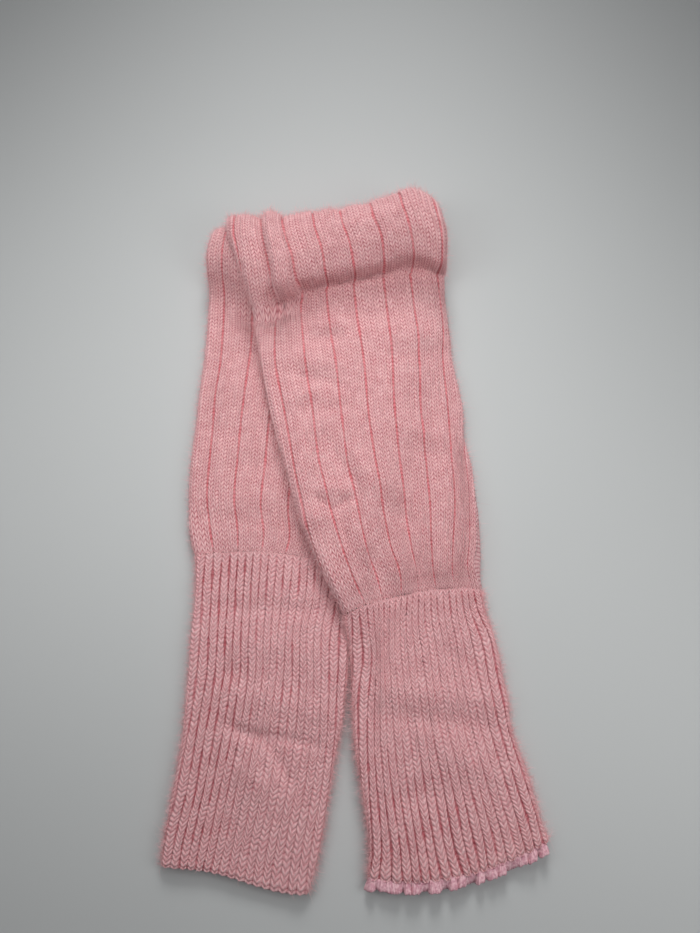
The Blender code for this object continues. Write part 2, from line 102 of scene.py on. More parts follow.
def read_curve(keys: Sequence[float], values: Sequence[float], at: Amount,
               columns: Array | None = None) -> Array:
    """Read smooth curves through keyed values.

    Args:
        keys: rising keys.
        values: for each key a number or, with columns, a ring of points.
        at: where to read; what lies outside the keys is held at the ends.
        columns: which point of the rings to read at each place.

    Returns:
        The values there.
    """
    keys, values = np.asarray(keys, float), np.asarray(values, float)
    before = np.maximum(np.arange(len(keys)) - 1, 0)
    after = np.minimum(np.arange(len(keys)) + 1, len(keys) - 1)
    spans = (keys[after] - keys[before]).reshape((-1,) + (1,) * (values.ndim - 1))
    slopes = (values[after] - values[before]) / spans
    at = np.clip(at, keys[0], keys[-1])
    low = np.clip(np.searchsorted(keys, at) - 1, 0, len(keys) - 2)
    high = low + 1
    span = keys[high] - keys[low]
    amount = (at - keys[low]) / span
    if columns is not None:
        low, high = (low, columns), (high, columns)
        span, amount = span[..., None], amount[..., None]
    square, cube = amount ** 2, amount ** 3
    return (values[low] * (2 * cube - 3 * square + 1)
            + slopes[low] * span * (cube - 2 * square + amount)
            + values[high] * (3 * square - 2 * cube) + slopes[high] * span * (cube - square))


def face_corners(low: Array, high: Array) -> Array:
    """Return the corners of the faces between rows of values, shaped (faces, 4, ...).

    Args:
        low: values along the faces' first sides, a row of them for each strip of faces.
        high: values along the sides across from those.

    Returns:
        The values at the four corners of each face.
    """
    corners = (low[:, :-1], low[:, 1:], high[:, 1:], high[:, :-1])
    return np.stack(corners, axis=2).reshape((-1, 4) + low.shape[2:])


def spots_of(first: Array, second: Array) -> Array:
    """Return the pairs of two map values, spread to one shape."""
    return np.stack(np.broadcast_arrays(first, second), axis=-1)


def placed(points: Array) -> Array:
    """Return points of the maker's frame in metres, with the pair centred."""
    return (points - np.array(CENTRE)) * MM


def link_new(name: str, data: bpy.types.ID) -> Piece:
    """Return a new object of the scene."""
    made = bpy.data.objects.new(name, data)
    bpy.context.scene.collection.objects.link(made)
    return made


def aim_object(thing: Piece, place: Sequence[float], view: Vector) -> None:
    """Put a light or a camera at its place, facing along view."""
    thing.location = place
    thing.rotation_euler = view.to_track_quat("-Z", "Y").to_euler()


def make_object(name: str, points: Array, faces: list[list[int]], material: Material,
                **maps: Array) -> Piece:
    """Make a smooth mesh object from points in millimetres.

    Args:
        name: the piece's name.
        points: points in the maker's frame, shaped (count, 3).
        faces: the point numbers of each face.
        material: the finish.
        **maps: two values for each face corner, by the map's name.

    Returns:
        The object, linked to the scene.
    """
    data = bpy.data.meshes.new(name)
    data.from_pydata(placed(points).tolist(), [], faces)
    for title, spots in maps.items():
        layer = data.uv_layers.new(name=title)
        layer.data.foreach_set("uv", spots.astype(np.float32).ravel())
    data.shade_smooth()
    data.materials.append(material)
    data.update()
    return link_new(name, data)


# ------------------------------------------------------------------ the roll and the rest
class Stand(NamedTuple):
    """Where the roll stands at one x: its front crease, rear reach and height factor."""

    x: float
    crease: float
    rear: float
    height: float


class RollStep(NamedTuple):
    """One step of the roll's profile: distance behind the crease, height and slope."""

    back: float
    height: float
    slope: float


@dataclass(frozen=True)
class RollForm:
    """The rounded form that the tucked tops give the pair, as one profile along x."""

    depth: float = 52.0
    stands: tuple[Stand, ...] = tuple(Stand(*row) for row in (
        (-112, 160, 201, 0.72), (-104, 156, 207, 0.86), (-97, 152, 210, 0.95),
        (-88, 144, 211, 1.01), (-76, 136, 211, 1.06), (-64, 132, 210, 1.10),
        (-52, 135, 210, 1.10), (-42, 146, 210, 1.08), (-24, 157, 210, 1.10),
        (-5, 163, 211, 1.11), (14, 168, 215, 1.15), (28, 170, 223, 1.23), (39, 171, 228, 1.30),
        (50, 172, 223, 1.23), (62, 171, 213, 1.08), (72, 169, 208, 0.97),
    ))
    steps: tuple[RollStep, ...] = tuple(RollStep(*row) for row in (
        (-2.0, 0.0, 0), (4.8, 1.2, 20), (10.9, 4.7, 40), (15.3, 10.0, 58), (19.0, 16.5, 50),
        (23.5, 20.2, 26), (28.5, 21.7, 13), (33.5, 22.5, 3), (37.8, 21.8, -28),
        (40.8, 19.0, -62), (41.8, 15.4, -84), (41.8, 11.2, -91), (41.3, 6.4, -98),
        (40.9, 4.5, -96), (40.6, 2.8, -93), (40.2, 1.4, -90),
    ))

    def point(self, index: int, x: Amount, offset: Amount) -> tuple[Amount, Amount]:
        """Return where one step of the profile runs.

        Args:
            index: the step.
            x: where along the roll.
            offset: distance outwards from the lowest cloth.

        Returns:
            The y and z there.
        """
        keys, *columns = zip(*self.stands)
        crease, rear, tall = (read_curve(keys, values, x) for values in columns)
        deep = (rear - crease) / self.depth
        step = self.steps[index]
        slope = math.radians(step.slope)
        out_y, out_z = -math.sin(slope) * tall, math.cos(slope) * deep
        length = np.hypot(out_y, out_z)
        return (crease + step.back * deep + out_y / length * offset,
                step.height * tall + out_z / length * offset)


@dataclass(frozen=True)
class RaisedFold:
    """The lengthwise fold that stands up on the roll of the upper leg, in wales."""

    wale: float = 3.0
    half: float = 3.1
    crown: float = 1.2       # height of its middle, for a fold 1 mm high
    valley: float = 0.2      # depth of the valley beside it
    valley_reach: float = 0.9
    pinch: float = 0.6       # how far it draws the wales beside it in, in millimetres
    core: float = 2.5
    reach: float = 8.0
    soft_wale: float = -2.5
    soft_span: float = 3.0

    @staticmethod
    def near(wales: Array, centre: float) -> Array:
        """Return wale numbers counted from the nearer side of centre."""
        return (wales - centre + WALES / 2) % WALES - WALES / 2 + centre

    def rise(self, wales: Array) -> tuple[Array, Array]:
        """Return the rise and the shift along x of the upper wall, for a fold 1 mm high."""
        away = self.near(wales, self.wale) - self.wale
        rise = self.crown * np.maximum(0.0, 1.0 - (away / self.half) ** 2) ** 0.75
        rise = rise - self.valley * bell(np.abs(away) - self.half, self.valley_reach)
        return rise, -self.pinch * np.tanh(away / self.core) * bell(away, self.reach)

    def beyond(self, wales: Array) -> Array:
        """Return 0 left of the fold and 1 on it and to its right."""
        return ease((self.near(wales, self.wale) - self.soft_wale) / self.soft_span)


FOLD = RaisedFold()


class Section(NamedTuple):
    """A flattened tube's section on one line of a leg, and how its wales lie on it."""

    left_x: float
    right_x: float
    soft: float      # thickness left of the raised fold
    thick: float     # thickness of the rest
    first: float     # wale at the left edge
    last: float      # wale at the right edge
    ridge: float     # height of the raised fold
    marks: tuple[float, ...]     # how far across every sixth wale lies; 0 where it does not

    def share(self, wales: Array) -> tuple[Array, Array]:
        """Return where wales lie round the section.

        Args:
            wales: wale numbers.

        Returns:
            Shares from 0 at the left edge to 1 at the right one, and which are on top.
        """
        turned = (wales - self.first) % WALES
        face = self.last - self.first
        marks = [(BODY_REPEAT * index, mark) for index, mark in enumerate(self.marks) if mark > 0]
        keys, places = zip((self.first, 0.0), *marks, (self.last, 1.0))
        upper = read_curve(keys, places, self.first + turned)
        below = 1.0 - (turned - face) / (WALES - face)
        return np.where(turned <= face, upper, below), turned <= face

    def points(self, wales: Array, inset: float) -> tuple[Array, Array, Array]:
        """Return where wales lie on the section.

        Args:
            wales: wale numbers.
            inset: how far inside the outer surface.

        Returns:
            x, the height over the leg's underside, and how far up the section (0 to 1).
        """
        thick = mix(self.soft, self.thick, FOLD.beyond(wales))
        width = self.right_x - self.left_x
        part, is_upper = self.share(wales)
        radius = thick / 2
        quarter = math.pi / 2 * radius
        length = 2 * quarter + width - 2 * radius
        near = np.clip(part * length / radius, 0.0, math.pi / 2)
        far = np.clip((1 - part) * length / radius, 0.0, math.pi / 2)
        middle = np.clip(part * length - quarter, 0.0, width - 2 * radius)
        across = radius * (1 - np.cos(near)) + middle + radius * np.cos(far)
        height = radius * (1 + np.minimum(np.sin(near), np.sin(far)))
        height = np.where(is_upper, height, thick - height)
        if inset > 0:
            half = np.maximum(thick - 2 * inset, LEAST_SLIT) / 2
            side = np.minimum(across, width - across)
            side = np.where(side < 2 * inset, inset + side ** 2 / (4 * inset), side)
            across = np.where(across < width / 2, side, width - side)
            short = np.maximum(0.0, half - (side - inset))
            rise = np.sqrt(np.maximum(0.0, half ** 2 - short ** 2))
            height = radius + np.where(is_upper, rise, -rise)
        upper = ease((height / thick - 0.5) / 0.3)
        rise, shift = FOLD.rise(wales)
        x = self.left_x + across + self.ridge * shift * upper
        return x, height + self.ridge * rise * upper, height / thick


class FlatRow(NamedTuple):
    """One course line of a leg where it lies flat: its two ends, its sag and section."""

    left_x: float
    left_y: float
    right_x: float
    right_y: float
    bow: float
    thick: float
    first: float
    last: float
    marks: tuple[float, ...]
    sway: float = 0.0

    def section(self) -> Section:
        """Return the section that stands on this line."""
        return Section(self.left_x, self.right_x, self.thick, self.thick, self.first,
                       self.last, 0.0, self.marks)

    def y_at(self, x: Array) -> Array:
        """Return the line's y at x."""
        part = (x - self.left_x) / (self.right_x - self.left_x)
        sag = self.bow * 4 * part * (1 - part) - self.sway * np.sin(TAU * (part - 0.1))
        return mix(self.left_y, self.right_y, part) - sag


UNDER_CUFF = tuple(FlatRow(*row) for row in (
    (-111, -211.5, -28.4, -225.2, 1, 6.6, -2.6, 33.4, (.089, .249, .399, .569, .734, .905), 1.8),
    (-109.8, -196, -22.2, -203, 0.5, 6.4, -2.8, 34.6, (.090, .249, .403, .554, .715, .876), 0.8),
    (-107.2, -176, -17.2, -176, 0.5, 6.5, -3.2, 34.7, (.104, .254, .406, .562, .720, .878)),
    (-103.9, -145, -12, -147, 0, 6.5, -3.9, 35.7, (.104, .265, .419, .552, .715, .866)),
    (-102.9, -110, -6.4, -113, 0, 6.4, -4.3, 37, (.128, .279, .426, .549, .695, .824, .975)),
    (-102.4, -82, -5.9, -86, 0, 6.4, -4.4, 36.6, (.125, .273, .416, .551, .686, .818, .985)),
    (-102, -58, -9, -64, -2, 6.5, -4.3, 34.1, (.121, .280, .429, .581, .738, .880)),
    (-104, -36.3, -11.6, -42.3, -5.5, 6.8, -5, 32.8, (.145, .307, .462, .621, .776, .932)),
))
UNDER_BODY = tuple(FlatRow(*row) for row in (
    (-104.1, -36, -11.4, -42, -5.5, 6.8, -5, 32.8, (.145, .307, .462, .621, .776, .932)),
    (-109.2, -18.5, -7.6, -28, -2, 7, -5.2, 31.9, (.151, .320, .480, .640, .800, .950)),
    (-110.8, 6, -1, -10, 0, 7, -4.6, 34.4, (.122, .283, .436, .593, .748, .905)),
    (-110.6, 38, 11, 24, 0, 7, -4.4, 36.7, (.111, .259, .408, .555, .703, .850, .980)),
    (-109.5, 72, 21, 62, 0, 7, -4, 38.2, (.100, .247, .388, .530, .670, .810, .945)),
    (-107.4, 104, 30, 100, 0, 7, -4.1, 38.4, (.096, .238, .380, .522, .664, .806, .945)),
    (-106.8, 130, 37, 134, 8, 7, -3.9, 38.7, (.090, .231, .372, .514, .656, .798, .940)),
))
UNDER_ROLL = tuple(
    Section(left, right, thick, thick, -4, 39.2, 0, (.087, .225, .365, .505, .645, .785, .920))
    for left, right, thick in (
        (-107.4, 42, 7), (-107.6, 43, 7), (-107.9, 44, 7), (-108.1, 45, 7), (-107.9, 46, 7),
        (-107.7, 46, 7), (-107.2, 46, 7), (-106, 45, 7), (-104.4, 44, 7), (-103, 43, 7),
        (-102, 42, 7), (-101.4, 41, 7), (-101, 40, 7), (-100.7, 39.5, 6.4), (-100.5, 39, 5),
        (-100.5, 39, 3.4)))
OVER_CUFF = tuple(FlatRow(*row) for row in (
    (5, -218.5, 108, -199.5, 8.5, 6.8, 5, 44.2, (0, .018, .203, .351, .521, .654, .809, .949)),
    (6.4, -203, 103.9, -188, 6, 6.8, 4.6, 43.3, (0, .034, .190, .333, .491, .656, .809, .965)),
    (3, -178, 99.3, -167, 3, 6.8, 4, 43.6, (0, .058, .191, .331, .489, .642, .790, .955)),
    (-1.6, -150, 92, -141, 2, 6.8, 2.8, 43.4, (0, .094, .214, .356, .499, .649, .795, .961)),
    (-3.6, -122, 88.2, -114, 2, 6.8, 2.2, 43.7, (0, .125, .233, .357, .495, .635, .779, .951)),
    (-4.6, -100, 84.6, -87, 1, 6.8, 1.1, 43.7, (0, .164, .244, .356, .495, .640, .772, .949)),
    (-6.4, -86, 80.4, -71, -1.5, 6.9, 0.1, 45, (0, .170, .273, .384, .508, .647, .780, .924)),
    (-8.6, -74.8, 78.7, -57.8, -6.5, 7, -0.7, 46.1,
     (.020, .176, .295, .420, .540, .661, .789, .914)),
))
OVER_BODY = tuple(FlatRow(*row) for row in (
    (-8.8, -74.5, 78.7, -57.5, -6.5, 7, -0.7, 46.1,
     (.020, .176, .295, .420, .540, .661, .789, .914)),
    (-18.8, -55, 79, -43, -2, 9.4, -0.7, 47.6, (.018, .185, .331, .468, .573, .674, .790, .885)),
    (-30, -32, 80.1, -25, 2, 9.8, -1.2, 47.4, (.040, .199, .331, .468, .583, .695, .814, .906)),
    (-38.5, -8, 79.4, 0, 1, 8.8, -2, 46.6, (.054, .195, .338, .471, .591, .721, .854, .932)),
    (-43.2, 8.5, 77.4, 15, 0.5, 8.4, -2.3, 45, (.058, .196, .340, .480, .603, .738, .875, .951)),
    (-47.5, 25, 76, 30, 0, 8.2, -2.9, 43.5, (.062, .193, .338, .482, .610, .748, .885, .956)),
    (-57.5, 60, 72.6, 66, 0, 8, -3.4, 41.2, (.083, .223, .365, .500, .634, .768, .909)),
    (-65, 95, 67.6, 104, 0, 8, -3.6, 39.6, (.083, .233, .384, .527, .672, .807, .934)),
    (-69.8, 120, 65.8, 140, -5, 7.8, -4.7, 38.5, (.105, .239, .375, .517, .672, .811, .959)),
))
OVER_ROLL_MARKS = (.161, .281, .408, .528, .666, .794, .949)
OVER_ROLL = tuple(Section(*row) for row in (
    (-72.4, 63.6, 8.2, 7.4, -5.8, 38.1, 0.8, (.125, .251, .378, .517, .669, .810, .949)),
    (-74, 63.8, 9.6, 6.2, -6.1, 38.2, 1.5, (.136, .266, .389, .526, .675, .818, .951)),
    (-75.8, 64.2, 10.4, 5.6, -6.1, 38.2, 3, (.140, .280, .400, .534, .679, .824, .953)),
    (-78, 64.4, 10.4, 7.4, -6, 38.3, 5.6, (.143, .293, .411, .542, .682, .825, .952)),
    (-81, 63.8, 10.2, 12.8, -6.4, 38.1, 6.2, (.152, .297, .419, .547, .686, .821, .954)),
    (-84.4, 64, 9, 10.4, -7, 37.9, 5.4, (.157, .292, .416, .541, .682, .809, .955)),
    (-87.6, 63.8, 8.4, 9.4, -7.5, 37.9, 4.8, (.159, .287, .411, .535, .674, .799, .951)),
    (-90.4, 62.4, 8.2, 9, -7.8, 38, 4.4, (.161, .285, .409, .529, .666, .794, .948)),
    (-92, 60, 8, 9, -8.2, 38, 4, (.161, .281, .408, .527, .666, .794, .949)),
    (-92.4, 57, 8, 8.8, -8.2, 38, 3.4, OVER_ROLL_MARKS),
    (-92.4, 54, 7.8, 8.4, -8.2, 38, 2.6, OVER_ROLL_MARKS),
    (-92, 52, 7.6, 8, -8.2, 38, 1.8, OVER_ROLL_MARKS),
    (-92, 51, 7.4, 7.6, -8.2, 38, 1.2, OVER_ROLL_MARKS),
    (-92, 50.6, 6.4, 6.6, -8.2, 38, 0.8, OVER_ROLL_MARKS),
    (-92, 50.4, 5, 5.2, -8.2, 38, 0.5, OVER_ROLL_MARKS),
    (-92, 50.4, 3.4, 3.6, -8.2, 38, 0.2, OVER_ROLL_MARKS),
))


@dataclass(frozen=True)
class OverRest:
    """How the upper leg lies on the lower one and comes down to the surface beside it."""

    drop_width: float = 34.0
    drop_outset: float = 2.5
    lift_start: float = -100.0
    lift_end: float = -60.0

    def height(self, x: Array, y: Array) -> Array:
        """Return the height at which the upper leg's underside lies.

        Args:
            x: where along X.
            y: where along Y.

        Returns:
            Heights over the surface.
        """
        rows = UNDER_CUFF[:-1] + UNDER_BODY
        edge = read_curve([row.right_y for row in rows], [row.right_x for row in rows], y)
        beyond = (x - edge - self.drop_outset) / self.drop_width
        lifted = ease((y - self.lift_start) / (self.lift_end - self.lift_start))
        return (UNDER_THICKNESS + LAYER_GAP) * lifted * (1.0 - ease(beyond))


@dataclass(frozen=True)
class LegForm:
    """The course lines of one length of leg, from its hem or seam upwards."""

    flats: tuple[FlatRow, ...]
    turns: tuple[Section, ...]
    is_over: bool
    roll: RollForm = RollForm()
    rest: OverRest = OverRest()
    tuck: float = 0.9        # how far a cuff's last line runs under its body

    def rings(self, wales: Array, inset: float = 0.0) -> tuple[Array, Array]:
        """Return the leg's rings of points.

        Args:
            wales: wale numbers, one for each column.
            inset: how far inside the outer surface.

        Returns:
            Points, shaped (rings, columns, 3), and how far up the section each one is.
        """
        rings, sides = [], []
        for row in self.flats:
            x, height, side = row.section().points(wales, inset)
            y = row.y_at(x)
            base = self.rest.height(x, y) if self.is_over else 0.0
            if row is self.flats[-1] and not self.turns:
                y = y + self.tuck
            rings.append(np.stack([x, y, base + height], axis=1))
            sides.append(side)
        base = UNDER_THICKNESS + LAYER_GAP if self.is_over else 0.0
        for index, section in enumerate(self.turns):
            x, height, side = section.points(wales, inset)
            y, z = self.roll.point(index, x, base + height)
            rings.append(np.stack([x, y, z], axis=1))
            sides.append(side)
        return np.array(rings), np.array(sides)


# ------------------------------------------------------------------ stitches
class EndKind(Enum):
    """How one end of a length of knitting is finished."""

    SEAM = "joined to the next length"
    BOUND = "bound off, each rib ending in a small point"
    CUT = "overlocked, covered by its edging"
    TUCKED = "turned under the roll"


# How deep and over how many courses the surface rounds down to an end.
LOW_DROPS = {EndKind.BOUND: (0.9, 0.45), EndKind.CUT: (0.9, 0.45), EndKind.SEAM: (0.45, 0.4)}
HIGH_DROPS = {EndKind.SEAM: (0.6, 0.22)}


@dataclass(frozen=True)
class Knit:
    """One knitted structure: how its wales repeat and how far its stitches stand out."""

    repeat: int                  # wales in one repeat; the first of them is purl
    open_half: float             # half a purl wale's width where the ribs are pulled open
    shut_half: float             # and where they are pushed together, in wales
    course: float                # height of one course
    columns: int                 # mesh columns for a plain wale
    rows: int                    # mesh rows for a course
    depth: float                 # how far a stitch's legs stand out
    groove: float                # depth of a purl groove
    shoulder: float = 0.0        # how far the wales beside a groove sink
    shoulder_reach: float = 2.5  # over how many wales they do
    middle: float = 0.5          # height kept along a wale's middle, as part of the depth
    side_open: float = 0.0       # and along its sides where the ribs are pulled open
    side_shut: float = 0.0       # and where they are pushed together
    slant: float = 1.0           # rise of a stitch's legs, in courses
    between: float = 0.12        # height of the yarn between two courses, as part of the depth
    roundness: float = 0.35      # power of a leg's crown; less is fuller
    bead_open: float = 0.3       # height of a purl stitch, as part of a leg's, ribs open
    bead_shut: float = 0.45      # and where they are pushed together
    edge_shut: float = 0.6       # and of its sides there
    edge_open: float = 0.3       # depth of its sides, as part of the groove, ribs open

    def place(self, pattern: Array, half: float) -> Array:
        """Return where pattern positions lie round the leg.

        Args:
            pattern: pattern positions, in wales.
            half: half the width of a purl wale.

        Returns:
            Places in wales.
        """
        block = np.floor((pattern + 0.5) / self.repeat)
        step = pattern + 0.5 - block * self.repeat
        wide = (self.repeat - 2 * half) / (self.repeat - 1)
        inside = (step - 0.5) * 2 * half
        outside = half + (step - 1.0) * wide
        return block * self.repeat + np.where(step < 1.0, inside, outside)

    def pattern_columns(self, fine_from: int, fine_to: int) -> Array:
        """Return the pattern positions of the mesh columns once round the leg.

        Args:
            fine_from: first wale that is modelled stitch by stitch.
            fine_to: last such wale; the others have one column each.

        Returns:
            Rising pattern positions, WALES long in all.
        """
        found = []
        for wale in range(fine_to - WALES, fine_to):
            if wale % self.repeat == 0 and wale >= fine_from:
                found += [wale - 0.5, wale - 0.2, wale + 0.2]
            elif wale >= fine_from:
                found += [wale - 0.5 + step / self.columns for step in range(self.columns)]
            else:
                found.append(wale - 0.5)
        return np.array(found, float)

    def lean(self, pattern: Array) -> Array:
        """Return how far from its wale's middle a column lies: 0 there, 1 at its sides."""
        wale = np.floor(pattern + 0.5)
        away = np.abs(2 * (pattern + 0.5 - wale) - 1)
        return np.where(wale % self.repeat == 0, 1.0, away)

    def relief(self, pattern: Array, phase: Array, openness: Array) -> Array:
        """Return how far the stitches stand out of the plain surface.

        Args:
            pattern: pattern position of each column.
            phase: course count measured along the slanted legs.
            openness: how far the ribs are pulled open, 0 to 1.

        Returns:
            Heights, shaped like phase.
        """
        wale = np.floor(pattern + 0.5)
        across = pattern + 0.5 - wale
        away = np.abs(2 * across - 1)
        strand = np.sqrt(np.clip(1 - (2 * (phase - np.round(phase))) ** 2, 0.0, 1.0))
        strand = self.depth * (self.between + (1 - self.between) * strand)
        side = mix(self.side_shut, self.side_open, openness)
        crown = np.maximum((4 * away * (1 - away)) ** self.roundness,
                           np.where(away < 0.5, self.middle, side))
        step = wale % self.repeat
        near = np.minimum(step, self.repeat - step) - 0.5
        sunk = self.shoulder * np.maximum(0.0, 1 - near / self.shoulder_reach) ** 2
        purl = mix(self.bead_shut * strand, self.bead_open * strand - self.groove, openness)
        edge = mix(self.edge_shut * strand, -self.edge_open * self.groove, openness)
        is_edge = (across < 0.1) & (step < 1.5)
        return np.where(is_edge, edge, np.where(step == 0, purl, crown * strand - sunk))


BODY_KNIT = Knit(repeat=BODY_REPEAT, open_half=0.21, shut_half=0.12, course=2.8, columns=6,
                 rows=2, depth=1.1, groove=1.3, shoulder=0.85)
CUFF_KNIT = Knit(repeat=2, open_half=0.17, shut_half=0.06, course=2.9, columns=8, rows=4,
                 depth=0.55, groove=1.25, side_shut=0.3, slant=0.95)


class Crease(NamedTuple):
    """A soft trough, or a ridge where depth is negative, laid on a leg."""

    x: float
    y: float
    angle: float     # degrees from +X to its length
    length: float
    width: float
    depth: float

    def sink(self, points: Array) -> Array:
        """Return how far the crease lowers the surface.

        Args:
            points: points of the surface, shaped (rows, columns, 3).

        Returns:
            Depths, shaped (rows, columns).
        """
        angle = math.radians(self.angle)
        dx, dy = points[..., 0] - self.x, points[..., 1] - self.y
        along = dx * math.cos(angle) + dy * math.sin(angle)
        aside = dy * math.cos(angle) - dx * math.sin(angle)
        return self.depth * bell(along, self.length) * bell(aside, self.width)


class OpenPatch(NamedTuple):
    """Where ribs are pulled open, or pushed together where the amount is negative."""

    wale: float
    wale_reach: float
    y: float
    y_reach: float
    amount: float

    def opening(self, pattern: Array, y: Array) -> Array:
        """Return how far the patch opens the ribs at each point."""
        near = self.amount * bell(pattern - self.wale, self.wale_reach)[None, :]
        return near * bell(y - self.y, self.y_reach)


@dataclass(frozen=True)
class Wander:
    """The slow wandering of wales and courses that keeps the knit from looking ruled."""

    wale: float = 0.16
    course: float = 0.35
    jitter: float = 0.2
    height: float = 0.6
    rib_height: float = 0.22
    seed: float = 0.0

    def shift(self, pattern: Array, course: Array) -> Array:
        """Return how many courses a stitch sits above or below its place."""
        slow = (np.sin(pattern * 0.21 + course * 0.05 + self.seed)
                + 0.6 * np.sin(pattern * 0.47 - course * 0.083 + 2 * self.seed))
        quick = np.sin(pattern * 2.3 + course * 0.31) + 0.6 * np.sin(pattern * 3.7 - course * 0.9)
        return self.course * slow + self.jitter * quick

    def sidestep(self, pattern: Array, phase: Array) -> Array:
        """Return how far a stitch sits aside of its wale, in millimetres."""
        wale = np.floor(pattern + 0.5)
        return self.wale * (np.sin(phase * 0.83 + wale * 2.9 + self.seed)
                            + np.sin(phase * 0.37 - wale * 1.7 + 2 * self.seed)
                            + 0.7 * np.sin(phase * 2.11 + wale * 4.3))

    def swell(self, pattern: Array, course: Array) -> Array:
        """Return a slow rise and fall of the surface."""
        broad = (np.sin(pattern * 0.33 + course * 0.11 + self.seed)
                 * np.sin(course * 0.071 - pattern * 0.09 + 3 * self.seed))
        ribs = np.sin(pattern * 1.31 + 0.6 * np.sin(course * 0.13 + self.seed))
        return self.height * broad + self.rib_height * ribs


@dataclass
class KnitLength:
    """One knitted length of a leg: the piece that stands for one node of the frame."""

    name: str
    node: str
    form: LegForm
    knit: Knit
    fine: tuple[int, int]
    low_end: EndKind
    high_end: EndKind
    creases: tuple[Crease, ...]
    wander: Wander
    openness: float
    patches: tuple[OpenPatch, ...]
    upper_from: float = 0.25     # how far up the section the modelled stitches begin
    upper_span: float = 0.45
    seam_relief: float = 0.6     # relief kept right above a seam, and courses until all of it
    seam_courses: float = 5.0
    shut_courses: float = 0.3    # courses with shut ribs above a seam, and until they open
    opening_courses: float = 2.0
    point_slant: float = 0.3     # slant kept at a bound hem, and courses until all of it
    point_courses: float = 1.5
    point_start: float = 0.15    # how far a bound hem's points stand back
    end_step: float = 0.04       # the narrow row at each end, in courses
    drift_courses: float = 8.0   # courses in which the wandering grows from an end
    courses: float = field(default=0.0, init=False)
    points: Array | None = field(default=None, init=False)
    normals: Array | None = field(default=None, init=False)

    def build(self, material: Material) -> Piece:
        """Model the stitches of this length.

        Args:
            material: the knit's finish.

        Returns:
            The piece.
        """
        pattern = self.knit.pattern_columns(*self.fine)
        open_wales = self.knit.place(pattern, self.knit.open_half)
        open_rings, sides = self.form.rings(open_wales)
        shut_rings, _ = self.form.rings(self.knit.place(pattern, self.knit.shut_half))
        inner_rings, _ = self.form.rings(open_wales, WALL)
        keys = self._course_keys(open_rings, sides)
        phase, course = self._courses_of_rows(pattern)
        opened, shut, side = (read_curve(keys, rings, course, np.arange(len(pattern)))
                              for rings in (open_rings, shut_rings, sides[..., None]))
        openness = self._openness(pattern, course, opened[..., 1])
        outer = mix(shut, opened, openness[..., None])
        around = unit(round_ring(opened))
        self.normals = unit(np.cross(round_ring(outer), np.gradient(outer, axis=0)))
        upper = ease((side[..., 0] - self.upper_from) / self.upper_span)
        relief = self._relief(pattern, phase, course, openness)
        relief = relief - sum(crease.sink(outer) for crease in self.creases)
        relief = np.maximum(relief, LEAST_COVER - WALL)
        outer = outer + self.normals * (relief * upper)[..., None]
        outer = outer + around * (self.wander.sidestep(pattern, phase) * upper)[..., None]
        outer[..., 2] = np.maximum(outer[..., 2], 0.0)
        self.points = outer
        faces, spots = self._shell(pattern, phase[:, 0], len(inner_rings))
        state = np.concatenate([openness.ravel(), np.ones(inner_rings.size // 3)])
        return make_object(self.name, np.concatenate([outer, inner_rings]).reshape(-1, 3),
                           faces.tolist(), material, knit=spots, state=np.repeat(state[faces], 2))

    def _openness(self, pattern: Array, course: Array, y: Array) -> Array:
        """Return how far the ribs are pulled open.

        Args:
            pattern: pattern position of each column.
            course: course count of each point.
            y: where the point lies.

        Returns:
            Amounts from 0 to 1, which fade to 0 at a seam.
        """
        patches = (patch.opening(pattern, y) for patch in self.patches)
        amount = np.clip(sum(patches, self.openness), 0.0, 1.0)
        fade = np.ones_like(course)
        if self.low_end is EndKind.SEAM:
            fade *= ease((course - self.shut_courses) / self.opening_courses)
        if self.high_end is EndKind.SEAM:
            fade *= ease((self.courses - course) / self.opening_courses)
        return amount * fade

    def _course_keys(self, rings: Array, sides: Array) -> Array:
        """Return the course count at each ring, from the length along the upper wall.

        Args:
            rings: points, shaped (rings, columns, 3).
            sides: how far up the section each of them is.

        Returns:
            Rising counts; the last one is a whole number of mesh rows.
        """
        steps = np.linalg.norm(np.diff(rings, axis=0), axis=2)
        on_top = (sides[:-1] > 0.9) & (sides[1:] > 0.9)
        lengths = (steps * on_top).sum(axis=1) / np.maximum(on_top.sum(axis=1), 1)
        keys = np.concatenate([[0.0], np.cumsum(lengths)]) / self.knit.course
        self.courses = round(keys[-1] * self.knit.rows) / self.knit.rows
        return keys * self.courses / keys[-1]

    def _courses_of_rows(self, pattern: Array) -> tuple[Array, Array]:
        """Return the course counts of every mesh point.

        Args:
            pattern: pattern position of each column.

        Returns:
            Counts along the slanted legs and along the leg, both shaped (rows, columns).
        """
        knit = self.knit
        phase = np.arange(self.courses * knit.rows + 0.5) / knit.rows
        phase = np.concatenate([[0.0, self.end_step], phase[1:-1], phase[-1:] - self.end_step,
                                phase[-1:]])[:, None]
        low, high, start = 1.0, 1.0, 0.0
        if self.low_end is EndKind.BOUND:
            low = mix(self.point_slant, 1.0, ease(phase / self.point_courses))
            start = self.point_start * knit.slant
        if self.high_end is not EndKind.SEAM:
            high = ease((self.courses - phase) / self.point_courses)
        slant = knit.slant * (knit.lean(pattern)[None, :] - 0.5) * low * high
        drift = self.wander.shift(pattern[None, :], phase)
        drift = (drift * ease(phase / self.drift_courses)
                 * ease((self.courses - phase) / self.drift_courses))
        course = phase + start * (1 - phase / self.courses) + slant + drift
        return np.broadcast_to(phase, course.shape), np.clip(course, 0.0, self.courses)

